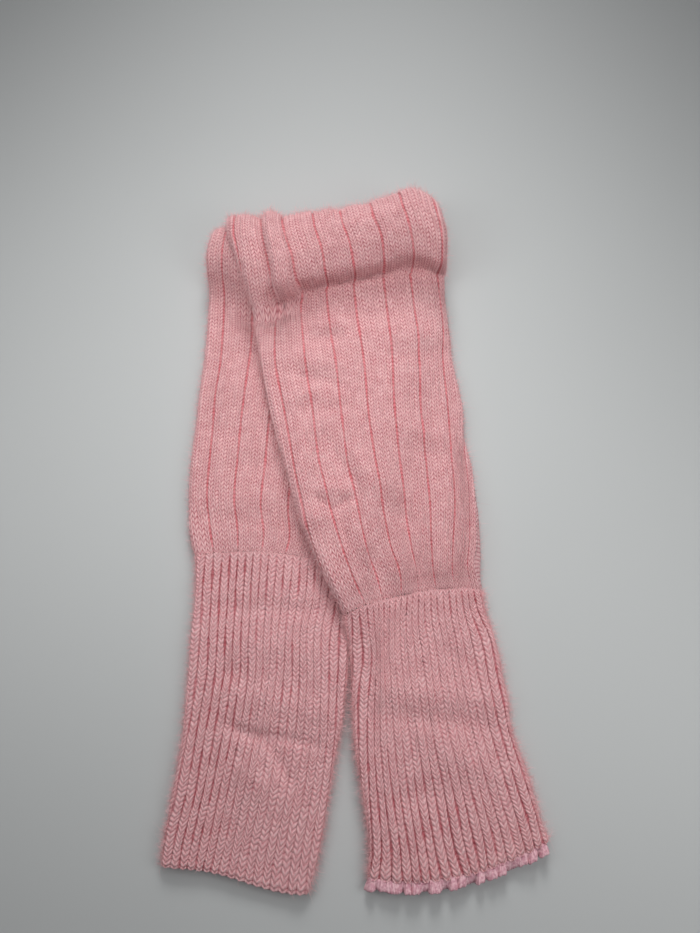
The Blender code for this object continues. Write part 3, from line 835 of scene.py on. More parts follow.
    def _relief(self, pattern: Array, phase: Array, course: Array, openness: Array) -> Array:
        """Return how far the surface stands out, without its creases.

        Args:
            pattern: pattern position of each column.
            phase: course count along the slanted legs.
            course: course count along the leg.
            openness: how far the ribs are pulled open, 0 to 1.

        Returns:
            Heights, shaped like phase.
        """
        relief = self.knit.relief(pattern[None, :], phase, openness)
        if self.low_end is EndKind.SEAM:
            relief = relief * mix(self.seam_relief, 1.0, ease(course / self.seam_courses))
        relief = relief + self.wander.swell(pattern, course)
        drop = np.zeros_like(course)
        for drops, end, away in ((LOW_DROPS, self.low_end, course),
                                 (HIGH_DROPS, self.high_end, self.courses - course)):
            depth, reach = drops.get(end, (0.0, 1.0))
            drop += depth * bell(away, reach)
        return relief - drop

    def _shell(self, pattern: Array, phase: Array, inner_rows: int) -> list[Array]:
        """Return the closed shell's faces and the (wale, phase) of their corners.

        Args:
            pattern: pattern position of each column.
            phase: course count of each outer row, along the slanted legs.
            inner_rows: how many rings the plain inside has.

        Returns:
            Faces, shaped (count, 4), and their map, shaped (count, 4, 2).
        """
        rows = len(phase)
        numbers = np.arange((rows + inner_rows) * len(pattern)).reshape(-1, len(pattern))
        numbers = np.append(numbers, numbers[:, :1], axis=1)
        courses = np.append(phase, np.linspace(0.0, self.courses, inner_rows))
        spots = spots_of(np.append(pattern, pattern[0] + WALES), courses[:, None])
        corners = []
        for grid in (numbers, spots):
            outer, inner = grid[:rows], grid[rows:]
            bands = ((outer[:-1], outer[1:]), (inner[1:], inner[:-1]), (inner[:1], outer[:1]),
                     (outer[-1:], inner[-1:]))
            corners.append(np.concatenate([face_corners(*band) for band in bands]))
        return corners


# ------------------------------------------------------------------ finishes
class NodeDesk:
    """A material being wired: short calls for the nodes that the finishes share."""

    def __init__(self, name: str) -> None:
        """Start an empty material with one shader."""
        self.material = bpy.data.materials.new(name)
        self.material.use_nodes = True
        self.tree = self.material.node_tree

    def feed(self, node: bpy.types.Node, inputs: dict[str | int, object]) -> None:
        """Link a node's inputs or set their values.

        Args:
            node: the node.
            inputs: sockets or plain values, by input name or number.
        """
        for key, value in inputs.items():
            if isinstance(value, Socket):
                self.tree.links.new(value, node.inputs[key])
            else:
                node.inputs[key].default_value = value

    def finish(self, inputs: dict[str | int, object]) -> Material:
        """Feed the shader and return the material."""
        self.feed(self.tree.nodes["Principled BSDF"], inputs)
        return self.material

    def node(self, kind: str, inputs: dict[str | int, object],
             **settings: object) -> bpy.types.Node:
        """Add one node.

        Args:
            kind: the node's type name.
            inputs: sockets to link from, or plain values, by input name or number.
            **settings: the node's own settings.

        Returns:
            The node.
        """
        made = self.tree.nodes.new(kind)
        for key, value in settings.items():
            setattr(made, key, value)
        self.feed(made, inputs)
        return made

    def map_pair(self, name: str) -> tuple[Socket, Socket]:
        """Return both values of one of the piece's maps."""
        spot = self.node("ShaderNodeUVMap", {}, uv_map=name).outputs[0]
        parts = self.node("ShaderNodeSeparateXYZ", {0: spot}).outputs
        return parts[0], parts[1]

    def sum_up(self, kind: str, first: object, second: object = 0.0) -> Socket:
        """Return the output of one Math node."""
        return self.node("ShaderNodeMath", {0: first, 1: second}, operation=kind).outputs[0]

    def scale(self, value: object, factor: float, offset: float = 0.0) -> Socket:
        """Return value times factor plus offset."""
        return self.node("ShaderNodeMath", {0: value, 1: factor, 2: offset},
                         operation="MULTIPLY_ADD").outputs[0]

    def mix(self, amount: object, first: object, second: object) -> Socket:
        """Return a value that lies amount of the way from first to second."""
        return self.node("ShaderNodeMix", {0: amount, 2: first, 3: second}).outputs[0]

    def blend(self, amount: object, first: object, second: object) -> Socket:
        """Return a colour that lies amount of the way from first to second."""
        first, second = ((*colour, 1.0) if isinstance(colour, tuple) else colour
                         for colour in (first, second))
        made = self.node("ShaderNodeMix", {0: amount, 6: first, 7: second}, data_type="RGBA")
        return made.outputs[2]

    def shape(self, value: object, low: float, high: float) -> Socket:
        """Return value spread smoothly from 0 at low to 1 at high."""
        return self.node("ShaderNodeMapRange", {0: value, 1: low, 2: high},
                         interpolation_type="SMOOTHSTEP").outputs[0]

    def noise(self, scale: float, detail: float = 2.0) -> Socket:
        """Return soft noise that is fixed to the piece."""
        where = self.node("ShaderNodeTexCoord", {}).outputs["Object"]
        made = self.node("ShaderNodeTexNoise", {"Vector": where, "Scale": scale,
                                                "Detail": detail})
        return made.outputs["Fac"]

    def bump(self, strength: float, distance: float, height: Socket) -> Socket:
        """Return the direction of a surface that height makes uneven."""
        return self.node("ShaderNodeBump", {"Strength": strength, "Distance": distance,
                                            "Height": height}).outputs[0]


@dataclass(frozen=True)
class KnitFinish:
    """Soft acrylic yarn, with a painted highlight on the legs of its stitches and painted rose
    shade in the gaps.
    """

    name: str
    knit: Knit
    # light: painted highlight on the crowns of the stitch legs, also the pale of the random
    # patches and flecks; yarn: the yarn's own colour; gap_shade and deep: painted shade in the
    # gaps between the legs, deep where they are lowest; groove and bead: painted shade along the
    # sunken purl wales, the beads paler than the groove between them
    light: Colour = (0.98, 0.65, 0.655)
    yarn: Colour = (0.86, 0.44, 0.455)
    gap_shade: Colour = (0.54, 0.16, 0.185)
    deep: Colour = (0.40, 0.07, 0.09)
    groove: Colour = (0.50, 0.05, 0.07)
    bead: Colour = (0.86, 0.25, 0.28)
    # heights over which the painted gap shade gives way to the yarn
    gap_shade_width: tuple[float, float] = (0.15, 0.62)
    patch_scale: float = 140.0   # broad pale patches, and how pale
    patch_share: float = 0.28
    chance_share: float = 0.28   # how much stitches differ from one another
    fleck_scale: float = 900.0
    fluff_scale: float = 2600.0
    fluff_height: float = 0.3
    ply_height: float = 0.07
    bump_strength: float = 0.75
    bump_height: float = 0.0005
    roughness: float = 0.9
    sheen: float = 0.22
    sheen_tint: Colour = (1.0, 0.90, 0.92)
    softness: float = 0.05

    def material(self) -> Material:
        """Wire the finish.

        Returns:
            The material.
        """
        desk = NodeDesk(self.name)
        place, phase = desk.map_pair("knit")
        openness, _ = desk.map_pair("state")
        shifted = desk.sum_up("ADD", place, 0.5)
        wale = desk.sum_up("FLOOR", shifted)
        across = desk.sum_up("SUBTRACT", shifted, wale)
        in_repeat = desk.sum_up("FLOORED_MODULO", wale, float(self.knit.repeat))
        purl = desk.sum_up("LESS_THAN", in_repeat, 0.5)
        away = desk.sum_up("ABSOLUTE", desk.scale(across, 2.0, -1.0))
        course = desk.sum_up("ROUND", phase)
        off_line = desk.scale(desk.sum_up("SUBTRACT", phase, course), 2.0)
        square = desk.sum_up("MULTIPLY", off_line, off_line)
        strand = desk.sum_up("MAXIMUM", desk.scale(square, -1.0, 1.0), 0.0)
        plain = desk.sum_up("MULTIPLY", self._crown(desk, away, openness),
                            desk.scale(strand, 0.9, 0.1))
        height = desk.mix(purl, plain, desk.scale(strand, 0.5))
        # painted shade along the sunken purl groove, paler on its beads, shown where the ribs are
        # open
        beads = desk.blend(desk.shape(strand, 0.1, 1.0), self.groove, self.bead)
        shown = desk.sum_up("MINIMUM", desk.scale(openness, 1.5), 1.0)
        colour = desk.blend(desk.sum_up("MULTIPLY", purl, shown), self._plain_shade_and_highlight(desk, height), beads)
        colour = self._uneven(desk, colour, wale, course)
        ply = desk.sum_up("SINE", desk.sum_up("ADD", desk.scale(away, 2 * TAU),
                                              desk.scale(off_line, 0.75 * TAU)))
        fluff = desk.scale(desk.noise(self.fluff_scale, 3.0), self.fluff_height)
        fluff = desk.sum_up("ADD", fluff, desk.scale(ply, self.ply_height))
        return desk.finish({
            "Base Color": colour,
            "Normal": desk.bump(self.bump_strength, self.bump_height,
                                desk.sum_up("ADD", height, fluff)),
            "Roughness": self.roughness,
            "Sheen Weight": self.sheen,
            "Sheen Roughness": 0.5,
            "Sheen Tint": (*self.sheen_tint, 1.0),
            "Subsurface Weight": self.softness,
            "Subsurface Radius": (0.002, 0.0008, 0.0008),
            "Specular IOR Level": 0.2,
        })

    def _crown(self, desk: NodeDesk, away: Socket, openness: Socket) -> Socket:
        """Shape the yarn across a plain wale.

        Args:
            desk: the material in hand.
            away: 0 at the wale's middle and 1 at its sides.
            openness: how far the ribs are pulled open.

        Returns:
            The height, 0 to 1.
        """
        crown = desk.sum_up("MULTIPLY", away, desk.scale(away, -4.0, 4.0))
        crown = desk.sum_up("POWER", desk.sum_up("MAXIMUM", crown, 0.0), 0.5)
        side = desk.mix(openness, self.knit.side_shut, self.knit.side_open)
        low = desk.mix(desk.sum_up("GREATER_THAN", away, 0.5), self.knit.middle, side)
        return desk.sum_up("MAXIMUM", crown, low)

    def _plain_shade_and_highlight(self, desk: NodeDesk, height: Socket) -> Socket:
        """Return the colour of plain stitches by height: painted shade in the gaps, the yarn, then
        a painted highlight on the legs' crowns.
        """
        colour = desk.blend(desk.shape(height, 0.0, 0.26), self.deep, self.gap_shade)
        colour = desk.blend(desk.shape(height, *self.gap_shade_width), colour, self.yarn)
        return desk.blend(desk.shape(height, 0.55, 1.0), colour, self.light)

    def _uneven(self, desk: NodeDesk, colour: Socket, wale: Socket, course: Socket) -> Socket:
        """Lay pale patches and flecks over a colour, and set stitches apart.

        Args:
            desk: the material in hand.
            colour: the even colour.
            wale: the stitch's wale.
            course: its course.

        Returns:
            The uneven colour.
        """
        patchy = desk.scale(desk.shape(desk.noise(self.patch_scale), 0.3, 0.7), self.patch_share)
        colour = desk.blend(patchy, colour, self.light)
        stitch = desk.node("ShaderNodeCombineXYZ", {0: wale, 1: course}).outputs[0]
        chance = desk.node("ShaderNodeTexWhiteNoise", {0: stitch}, noise_dimensions="2D")
        colour = desk.blend(desk.scale(chance.outputs[0], self.chance_share), colour, self.gap_shade)
        flecks = desk.scale(desk.noise(self.fleck_scale, 3.0), 0.5, -0.18)
        return desk.blend(flecks, colour, self.light)


@dataclass(frozen=True)
class ThreadFinish:
    """The mauve sewing thread of the overlocked edge."""

    name: str
    # light and dark: the thread's uneven tones; dark is also the painted shade between the wraps
    light: Colour = (0.94, 0.58, 0.63)
    dark: Colour = (0.66, 0.30, 0.37)
    roughness: float = 0.7
    sheen: float = 0.2
    patch_scale: float = 700.0
    bump_strength: float = 0.6
    bump_height: float = 0.0002

    def material(self) -> Material:
        """Wire the finish.

        Returns:
            The material.
        """
        desk = NodeDesk(self.name)
        thread, _ = desk.map_pair("knit")
        turn = desk.sum_up("COSINE", desk.sum_up("MULTIPLY", thread, TAU))
        patchy = desk.shape(desk.noise(self.patch_scale, 3.0), 0.36, 0.64)
        # painted shade between the thread's wraps: the colour is darkened toward dark by up to a
        # quarter where the wraps dip
        between = desk.scale(desk.shape(turn, -0.9, 0.6), -0.25, 0.25)
        colour = desk.blend(between, desk.blend(patchy, self.dark, self.light), self.dark)
        return desk.finish({
            "Base Color": colour,
            "Normal": desk.bump(self.bump_strength, self.bump_height, turn),
            "Roughness": self.roughness,
            "Sheen Weight": self.sheen,
        })


@dataclass(frozen=True)
class PlainFinish:
    """One colour, slightly uneven: the pale matt floor and the loose fibre."""

    name: str
    colour: Colour
    change: float            # factor of its other tone
    scale: float
    roughness: float
    shine: float = 0.5

    def material(self) -> Material:
        """Wire the finish.

        Returns:
            The material.
        """
        desk = NodeDesk(self.name)
        other = tuple(min(1.0, part * self.change) for part in self.colour)
        return desk.finish({
            "Base Color": desk.blend(desk.noise(self.scale), self.colour, other),
            "Roughness": self.roughness,
            "Specular IOR Level": self.shine,
        })


# ------------------------------------------------------------------ edging and tucked tops
@dataclass(frozen=True)
class HemEdging:
    """The ruffled overlocked edging round the upper cuff's hem."""

    name: str = "over_hem_ruffle"
    node: str = "over_leg_hem_edging"
    line: FlatRow = OVER_CUFF[0]
    waves: int = 26
    stations: int = 28           # for each wave
    length: float = 5.6
    overlap: float = 1.4         # how far it wraps up over the knit
    thick: float = 1.6
    swing: float = 1.9           # how far the waves stand off the hem
    swing_under: float = 0.35    # and below the leg, where they lie on the surface
    dip_under: float = 0.3
    curl: float = 0.3            # small ripple on each wave, as part of its swing
    fan: float = 1.1             # how far the waves spread at their outer edge
    lift: float = 0.3
    least_reach: float = 0.76    # length in a wave's hollow, as part of the whole
    crest_reach: float = 0.15    # how much longer its crest is
    ripple_reach: float = 0.04
    lowest: float = 0.1
    threads: int = 7             # wraps of thread in each wave
    thread_height: float = 0.12
    thread_slant: float = 0.9    # wraps from the band's top edge to its outer one
    around: int = 12

    def build(self, material: Material) -> Piece:
        """Model the ruffled band with its wraps of thread.

        Args:
            material: the thread's finish.

        Returns:
            The piece.
        """
        count = self.waves * self.stations
        turn = np.arange(count) / count
        section = self.line.section()
        x, height, _ = section.points(self.line.first + WALES * turn, WALL / 2)
        along_x, along_z = (np.roll(line, -1) - np.roll(line, 1) for line in (x, height))
        length = np.maximum(np.hypot(along_x, along_z), TINY)
        out_x, out_z = -along_z / length, along_x / length
        upper = ease((height / section.thick - 0.35) / 0.3)
        beat, wave, reach = self._waves(turn, upper)
        rings = []
        for step in range(self.around):
            angle = TAU * step / self.around
            down = 0.5 - 0.5 * math.cos(angle)
            side = math.sin(angle) * (0.7 + 0.6 * down)
            wrap = turn * self.waves * self.threads + self.thread_slant * down * np.sign(side)
            ridge = self.thread_height * np.cos(TAU * wrap)
            outward = side * (self.thick / 2 + ridge) + wave * down ** 1.3
            far = mix(-self.overlap, self.length, down) * reach + ridge * 0.6 * (2 * down - 1)
            fan = -self.fan * np.sin(beat) * down * upper
            px = x + out_x * outward + fan
            pz = np.maximum(height + out_z * outward, self.lowest)
            rings.append(np.stack([px, self.line.y_at(px) - far, pz], axis=1))
        numbers = np.pad(np.arange(count * self.around).reshape(count, -1), (0, 1), mode="wrap")
        spots = spots_of(np.arange(count + 1)[:, None] * (self.threads / self.stations),
                         np.arange(self.around + 1))
        return make_object(self.name, np.stack(rings, axis=1).reshape(-1, 3),
                           face_corners(numbers[:-1], numbers[1:]).tolist(), material,
                           knit=face_corners(spots[:-1], spots[1:]))

    def _waves(self, turn: Array, upper: Array) -> tuple[Array, ...]:
        """Return the uneven waves: their beat, how far they stand off and how far they reach.

        Args:
            turn: how far round the hem, 0 to 1.
            upper: 0 below the leg and 1 above it.

        Returns:
            Three arrays shaped like turn.
        """
        uneven = 1.0 + 0.4 * np.sin(TAU * turn * 11 + 1.0) + 0.35 * np.sin(TAU * turn * 19)
        beat = TAU * (turn * self.waves + 0.25 * np.sin(TAU * turn * 9)
                      + 0.15 * np.sin(TAU * turn * 16 + 2.0))
        swing = mix(self.swing_under, self.swing, upper) * uneven
        wave = swing * (self.curl * np.sin(3 * beat + 1.0) - np.cos(beat)) + self.lift * upper
        wave = np.where(upper < 0.5, np.maximum(wave, -self.dip_under), wave)
        crest = np.abs(np.sin(beat / 2)) ** 0.7
        reach = self.least_reach + self.crest_reach * crest * (0.5 + 0.8 * uneven)
        return beat, wave, reach + self.ripple_reach * np.sin(3 * beat + 2.0)


@dataclass(frozen=True)
class TuckedTops:
    """The hidden layers of both tops: one rounded form, layered where its ends show."""

    name: str = "tucked_layers"
    node: str = "tucked_tops"
    roll: RollForm = RollForm()
    start: float = -95.0
    end: float = 38.0
    sections: int = 40
    first_step: int = 2      # the steps of the roll's profile that it fills
    last_step: int = 12
    foot: float = 12.5       # how far its foot reaches behind the last of them
    least_foot: float = 1.2
    cap_height: float = 0.4  # height of an end's middle, as part of the mean
    layers: tuple[tuple[float, float], ...] = (
        (1.0, 0.15), (1.7, 0.7), (2.1, 1.7), (2.2, 2.6), (3.3, 2.8), (4.0, 3.3), (4.4, 4.2),
        (4.6, 5.2), (5.6, 5.4), (6.2, 5.9), (6.6, 6.8), (6.8, 7.6))

    def build(self, material: Material) -> Piece:
        """Model the tucked tops.

        Args:
            material: the knit's finish.

        Returns:
            The piece.
        """
        middle = [(x, self._outline(x)) for x in np.linspace(self.start, self.end, self.sections)]
        loops = self._end(*middle[0], -1)[::-1] + middle + self._end(*middle[-1], 1)
        points = np.array([[(x, y, z) for y, z in outline] for x, outline in loops])
        rows, columns = points.shape[:2]
        lengths = np.linalg.norm(np.diff(points[rows // 2], axis=0), axis=1)
        course = np.concatenate([[0.0], np.cumsum(lengths), [0.0]]) / BODY_KNIT.course
        numbers = np.arange(rows * columns).reshape(rows, columns)
        numbers = np.append(numbers, numbers[:, :1], axis=1)
        spots = spots_of(points[:, :1, 0] / WALE_PITCH, course)
        faces = face_corners(numbers[:-1], numbers[1:]).tolist()
        maps = [face_corners(spots[:-1], spots[1:]).reshape(-1, 2)]
        centres = []
        for row, turn in ((0, 1), (rows - 1, -1)):
            pairs = np.stack([numbers[row, :-1], numbers[row, 1:]], axis=1)[:, ::turn]
            faces += [[one, rows * columns + len(centres), other] for one, other in pairs.tolist()]
            centres.append(points[row].mean(axis=0) * (1, 1, self.cap_height))
            places = points[row, :, 1:] / (WALE_PITCH, BODY_KNIT.course)
            maps.append(places[pairs[:, [0, 0, 1]] - row * columns].reshape(-1, 2))
        return make_object(self.name, np.concatenate([points.reshape(-1, 3), centres]), faces,
                           material, knit=np.concatenate(maps))

    def _outline(self, x: float) -> list[tuple[float, float]]:
        """Draw the form's side outline.

        Args:
            x: where along the roll.

        Returns:
            The (y, z) points, from the toe over to the foot.
        """
        steps = range(self.first_step, self.last_step + 1)
        top = [self.roll.point(index, x, -LAYER_GAP) for index in steps]
        end_y, end_z = self.roll.point(self.last_step, x, 0.0)
        far_y, far_z = self.roll.point(self.last_step, x, self.foot)
        foot = [(end_y, end_z - LAYER_GAP),
                (mix(end_y, far_y, 0.5), mix(end_z, far_z, 0.5) - LAYER_GAP),
                (far_y - 1.4, max(far_z - LAYER_GAP, self.least_foot)),
                (far_y - 0.4, 1.0), (far_y - 1.0, 0.0), (top[0][0] - 1.0, 0.0)]
        return [(float(y), float(z)) for y, z in top + foot]

    def _end(self, x: float, outline: list[tuple[float, float]],
             side: int) -> list[tuple[float, list[tuple[float, float]]]]:
        """Nest the sections that close one end.

        Args:
            x: where the end is.
            outline: the side outline there.
            side: -1 left and 1 right.

        Returns:
            Each section's x and outline, from the widest.
        """
        centre_y = sum(y for y, _ in outline) / len(outline)
        tallest = max(z for _, z in outline)
        shrinks = [(x + side * reach, 1.0 - inset / tallest) for reach, inset in self.layers]
        return [(place, [(mix(centre_y, y, shrink), z * shrink) for y, z in outline])
                for place, shrink in shrinks]


@dataclass(frozen=True)
class Fuzz:
    """Fine loose fibres that stand off the yarn, a few of them long."""

    count: int
    length: float = 2.4
    shortest: float = 0.4        # as part of the length
    long_share: float = 0.35
    long_factor: float = 2.0
    side_factor: float = 1.5     # how much longer they are along the leg's sides
    spread: float = 0.75         # how far they lean aside
    bend: float = 0.55           # how far along its length a fibre bends
    stray: float = 0.35          # how far its tip strays, as part of its length
    width: float = 0.1
    lowest: float = 0.15
    tries: int = 6               # roots drawn for each fibre, so that enough are kept
    seed: int = 11

    def build(self, name: str, source: KnitLength, material: Material) -> Piece:
        """Model the fibres of one knitted length.

        Args:
            name: the piece's name.
            source: the knitted length that they stand on.
            material: the fibres' finish.

        Returns:
            The piece.
        """
        chance = np.random.default_rng(self.seed)
        rows, columns = source.points.shape[:2]
        row = chance.integers(2, rows - 2, self.count * self.tries)
        column = chance.integers(0, columns, self.count * self.tries)
        root, out = source.points[row, column], source.normals[row, column]
        is_side = (np.abs(out[:, 0]) > 0.6) | ((out[:, 1] > 0.5) & (out[:, 2] > -0.2))
        sides = np.flatnonzero(is_side & (out[:, 2] > -0.4))[:self.count // 2]
        tops = np.flatnonzero(~is_side & (out[:, 2] > -0.1))
        keep = np.concatenate([sides, tops])[:self.count]
        root, out = root[keep], out[keep]
        lean = unit(out + self.spread * chance.normal(size=root.shape))
        long = self.length * chance.uniform(self.shortest, 1.0, (len(root), 1))
        is_long = chance.uniform(0.0, 1.0, long.shape) < self.long_share
        long = long * np.where(is_long, self.long_factor, 1.0)
        long[:len(sides)] *= self.side_factor
        half = unit(np.cross(lean, chance.normal(size=root.shape))) * self.width / 2
        middle = root + lean * long * self.bend
        tip = root + lean * long + self.stray * long * chance.normal(size=root.shape)
        points = np.stack([root - half, root + half, middle + half, middle - half, tip], axis=1)
        points[..., 2] = np.maximum(points[..., 2], self.lowest)
        base = np.arange(len(root))[:, None] * points.shape[1]
        faces = (base + (0, 1, 2, 3)).tolist() + (base + (3, 2, 4)).tolist()
        return make_object(name, points.reshape(-1, 3), faces, material)


# ------------------------------------------------------------------ the studio
class Lamp(NamedTuple):
    """One square soft light, in metres."""

    name: str
    place: tuple[float, float, float]
    aim: tuple[float, float, float]      # the point that it faces
    size: float
    power: float                         # watts
    spread: float                        # how wide it throws its light, in degrees

    def hang(self) -> None:
        """Add the light to the scene."""
        data = bpy.data.lights.new(self.name, "AREA")
        data.size = self.size
        data.energy = self.power
        data.spread = math.radians(self.spread)
        aim_object(link_new(self.name, data), self.place, Vector(self.aim) - Vector(self.place))


@dataclass(frozen=True)
class Studio:
    """A plain pale surface, soft light from above and the camera."""

    camera_place: tuple[float, float, float] = (-4.6, -128.0, 450.0)
    pitch: float = 71.0
    sensor: float = 36.0
    focal_pixels: float = 701.0
    long_side: int = 933
    floor_half: float = 2000.0
    fill: tuple[float, ...] = (0.95, 0.96, 1.0, 1.0)
    fill_strength: float = 0.12
    lamps: tuple[Lamp, ...] = (
        Lamp("top_light", (-0.02, 0.11, 0.36), (0.0, 0.14, 0.0), 0.26, 0.265, 130.0),
        Lamp("right_light", (0.42, -0.16, 0.40), (0.1, -0.1, 0.0), 0.30, 0.42, 120.0),
        Lamp("left_light", (-0.42, 0.00, 0.40), (-0.1, 0.1, 0.0), 0.30, 0.27, 120.0),
        Lamp("back_light", (0.0, 1.10, 0.75), (0.0, -0.05, 0.0), 0.45, 0.95, 60.0))

    def build(self) -> None:
        """Set the floor, the lights and the camera."""
        corners = np.array([(-1, -1, 0), (1, -1, 0), (1, 1, 0), (-1, 1, 0)]) * self.floor_half
        finish = PlainFinish("pale_floor", (0.61, 0.625, 0.62), 0.97, 6.0, 0.6, 0.3)
        floor = make_object("floor", corners + CENTRE, [[0, 1, 2, 3]], finish.material())
        for lamp in self.lamps:
            lamp.hang()
        self._world()
        self._camera()

    def _world(self) -> None:
        """Fill the shadows with a faint even light."""
        world = bpy.data.worlds.new("soft_room")
        world.use_nodes = True
        inputs = world.node_tree.nodes["Background"].inputs
        inputs[0].default_value = self.fill
        inputs[1].default_value = self.fill_strength
        bpy.context.scene.world = world
        bpy.context.scene.view_settings.view_transform = "Standard"

    def _camera(self) -> None:
        """Place the camera."""
        data = bpy.data.cameras.new("camera")
        data.sensor_width = self.sensor
        data.lens = self.focal_pixels / self.long_side * self.sensor
        data.clip_start = 0.01
        camera = link_new("camera", data)
        angle = math.radians(self.pitch)
        aim_object(camera, placed(np.array(self.camera_place)),
                   Vector((0.0, math.cos(angle), -math.sin(angle))))
        bpy.context.scene.camera = camera


# ------------------------------------------------------------------ the pair
UNDER_CUFF_PATCHES = tuple(OpenPatch(*row) for row in (
    (4, 8, -120, 140, 0.7), (22, 3, -112, 30, 0.5), (34, 3, -100, 60, 0.6),
    (14, 40, -50, 10, 0.5),
))
OVER_CUFF_PATCHES = tuple(OpenPatch(*row) for row in (
    (3, 4.5, -140, 120, 0.75), (42, 3.5, -140, 120, 0.7), (18, 17, -196, 34, 0.85),
    (24, 40, -66, 8, 0.4),
))
UNDER_BODY_PATCHES = tuple(OpenPatch(*row) for row in (
    (12, 3, -20, 12, -0.5), (24, 4, 20, 16, -0.5),
))
OVER_BODY_PATCHES = tuple(OpenPatch(*row) for row in (
    (0, 3.5, 138, 10, -1.3), (6, 3, 130, 6, -0.5), (24, 4, -52, 14, -0.6),
    (36, 4, -54, 16, -0.5), (42, 3, 0, 60, -0.7), (12, 3, 40, 12, -0.4),
))
UNDER_CUFF_CREASES = tuple(Crease(*row) for row in (
    (-50, -70, -3, 40, 6, 1.6), (-76, -109, 0, 8, 6, 1.7), (-42, -127, -12, 34, 8, -1.6),
    (-64, -144, -25, 16, 4, 2.0), (-46, -158, -57, 14, 4, 1.9), (-47, -145, -10, 26, 3.5, 1.9),
    (-92, -170, 70, 20, 5, 1.0), (-60, -92, -8, 30, 8, -1.2), (-60, -168, -35, 20, 8, -1.4),
))
UNDER_BODY_CREASES = tuple(Crease(*row) for row in (
    (-68, 26, 0, 18, 7, 1.5), (-88, 82, 12, 16, 9, -1.3), (-80, -12, -6, 26, 6, 1.1),
    (-72, 108, -8, 22, 8, 1.2), (-90, 50, -10, 18, 7, 1.0), (-60, 4, 6, 20, 8, -1.2),
))
OVER_CUFF_CREASES = tuple(Crease(*row) for row in (
    (28, -66, 16, 12, 7, -1.5), (62, -61, 3, 24, 7, -0.9), (50, -136, -6, 42, 6, 1.7),
    (50, -121, -4, 40, 7, -1.5), (16, -88, -88, 20, 2.5, 1.3), (62, -100, -30, 18, 6, 1.1),
    (38, -176, 8, 30, 7, 1.2), (70, -160, -20, 22, 8, -1.3),
))
OVER_BODY_CREASES = tuple(Crease(*row) for row in (
    (-51, 139, -8, 18, 5, 2.1), (-47, 126, 0, 9, 8, -2.0), (-38, 128, 72, 10, 3.0, 1.8),
    (-60, 124, 80, 12, 4.0, 1.0), (-18, 128, -6, 14, 7, -3.1), (-22, 117, 12, 15, 4, 1.7),
    (-26, 84, -16, 26, 5, 1.7), (-30, 100, -10, 22, 8, -2.3), (-34, 74, 18, 16, 6, -1.8),
    (-16, 63, 10, 14, 4.5, 1.6), (-28, 50, 30, 14, 8, -2.2), (-13, 27, -62, 20, 4, 2.2),
    (-32, 24, 80, 22, 6, -2.1), (0, 24, -66, 18, 6, -2.1), (-21, -4, -38, 8, 3, 2.3),
    (-8, -3, 32, 9, 3, 2.2), (-14, 6, 0, 12, 5, -2.1), (-28, -14, 10, 9, 7, -3.1),
    (-8, -24, -75, 14, 3, 2.1), (2, -28, -78, 14, 4, -1.8), (24, 139, 16, 62, 10, 2.1),
    (40, 104, 10, 20, 8, 1.2), (28, -65, 16, 12, 6, -0.8), (62, -61, 3, 24, 7, -1.2),
    (46, 120, 4, 22, 9, -1.7), (54, 32, -24, 16, 7, 1.2), (44, 48, -14, 20, 9, -1.6),
    (20, 10, -34, 20, 9, -1.7), (30, -12, -24, 14, 5, 1.0), (40, -42, -82, 14, 3.5, 1.7),
    (12, -44, -78, 14, 3.5, 2.0), (26, -44, -80, 14, 5, -1.8), (55, -44, -84, 12, 5, -1.6),
))


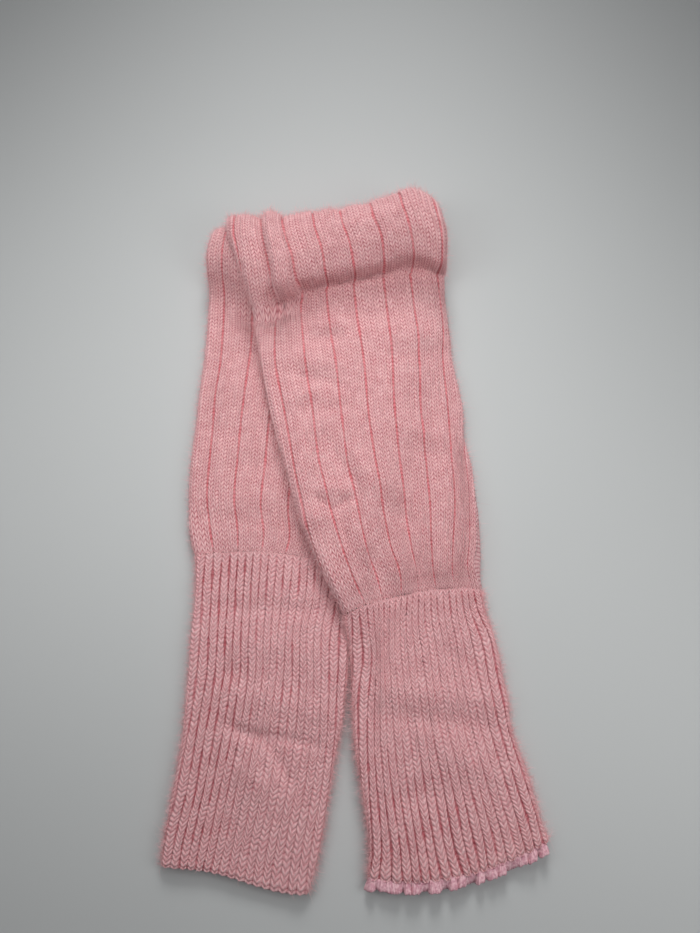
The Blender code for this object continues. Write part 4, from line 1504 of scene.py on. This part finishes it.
@dataclass(frozen=True)
class LegWarmers:
    """The whole pair, piece by piece."""

    edging: HemEdging = HemEdging()
    tucked: TuckedTops = TuckedTops()
    cuff_fibres: int = 18000
    body_fibres: int = 24000
    lengths: tuple[KnitLength, ...] = (
        KnitLength("under_cuff_knit", "under_leg_cuff", LegForm(UNDER_CUFF, (), False),
                   CUFF_KNIT, (-6, 42), EndKind.BOUND, EndKind.SEAM, UNDER_CUFF_CREASES,
                   Wander(wale=0.3, jitter=0.26, seed=0.4), 0.12, UNDER_CUFF_PATCHES),
        KnitLength("under_body_knit", "under_leg_body", LegForm(UNDER_BODY, UNDER_ROLL, False),
                   BODY_KNIT, (-6, 42), EndKind.SEAM, EndKind.TUCKED, UNDER_BODY_CREASES,
                   Wander(height=0.7, rib_height=0.35, seed=1.7), 1.0, UNDER_BODY_PATCHES),
        KnitLength("over_cuff_knit", "over_leg_cuff", LegForm(OVER_CUFF, (), True),
                   CUFF_KNIT, (-4, 46), EndKind.CUT, EndKind.SEAM, OVER_CUFF_CREASES,
                   Wander(wale=0.3, jitter=0.26, seed=2.9), 0.12, OVER_CUFF_PATCHES),
        KnitLength("over_body_knit", "over_leg_body", LegForm(OVER_BODY, OVER_ROLL, True),
                   BODY_KNIT, (-12, 45), EndKind.SEAM, EndKind.TUCKED, OVER_BODY_CREASES,
                   Wander(height=0.8, rib_height=0.4, seed=4.1), 1.0, OVER_BODY_PATCHES),
    )

    def build(self) -> None:
        """Build and dress every piece and hang it on the root, hiding the frame's parts that the
        pieces stand for.
        """
        body_finish = KnitFinish("wide_rib_knit", BODY_KNIT).material()
        # the cuff's own tones of the painted highlight, the painted gap shade and the painted
        # shade of the purl grooves
        cuff_finish = KnitFinish("narrow_rib_knit", CUFF_KNIT, light=(0.94, 0.60, 0.61),
                                 yarn=(0.85, 0.455, 0.47), gap_shade=(0.64, 0.25, 0.28),
                                 groove=(0.40, 0.035, 0.06), bead=(0.60, 0.13, 0.16),
                                 gap_shade_width=(0.05, 0.46)).material()
        fibre = PlainFinish("loose_fibre", (0.92, 0.57, 0.585), 1.08, 120.0, 0.8).material()
        ruffle = self.edging.build(ThreadFinish("mauve_thread").material())
        self._register(ruffle, self.edging.node, "overlock")
        layers = self.tucked.build(body_finish)
        self._register(layers, self.tucked.node, "knit")
        extra = {"over_leg_cuff": [ruffle], "over_leg_body": [layers]}
        for length in self.lengths:
            is_cuff = length.knit is CUFF_KNIT
            piece = length.build(cuff_finish if is_cuff else body_finish)
            self._register(piece, length.node, "knit")
            count = self.cuff_fibres if is_cuff else self.body_fibres
            fuzz = Fuzz(count).build(length.name + "_fuzz", length, fibre)
            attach(fuzz, "root")
            [fuzz] + extra.get(length.node, [])
            LOG.info("%s: %.1f courses, %d faces", length.name, length.courses,
                     len(piece.data.polygons))

    @staticmethod
    def _register(piece: Piece, node: str, slot: str) -> None:
        """Hang a piece on the root, hide the frame's part for its node and log which node it
        stands for.
        """
        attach(piece, "root")
        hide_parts(node)
        LOG.info("%s stands for %s", piece.name, node)


def main() -> None:
    """Build the pair and its studio."""
    logging.basicConfig(level=logging.INFO)
    LegWarmers().build()
    Studio().build()


if __name__ == "__main__":
    main()
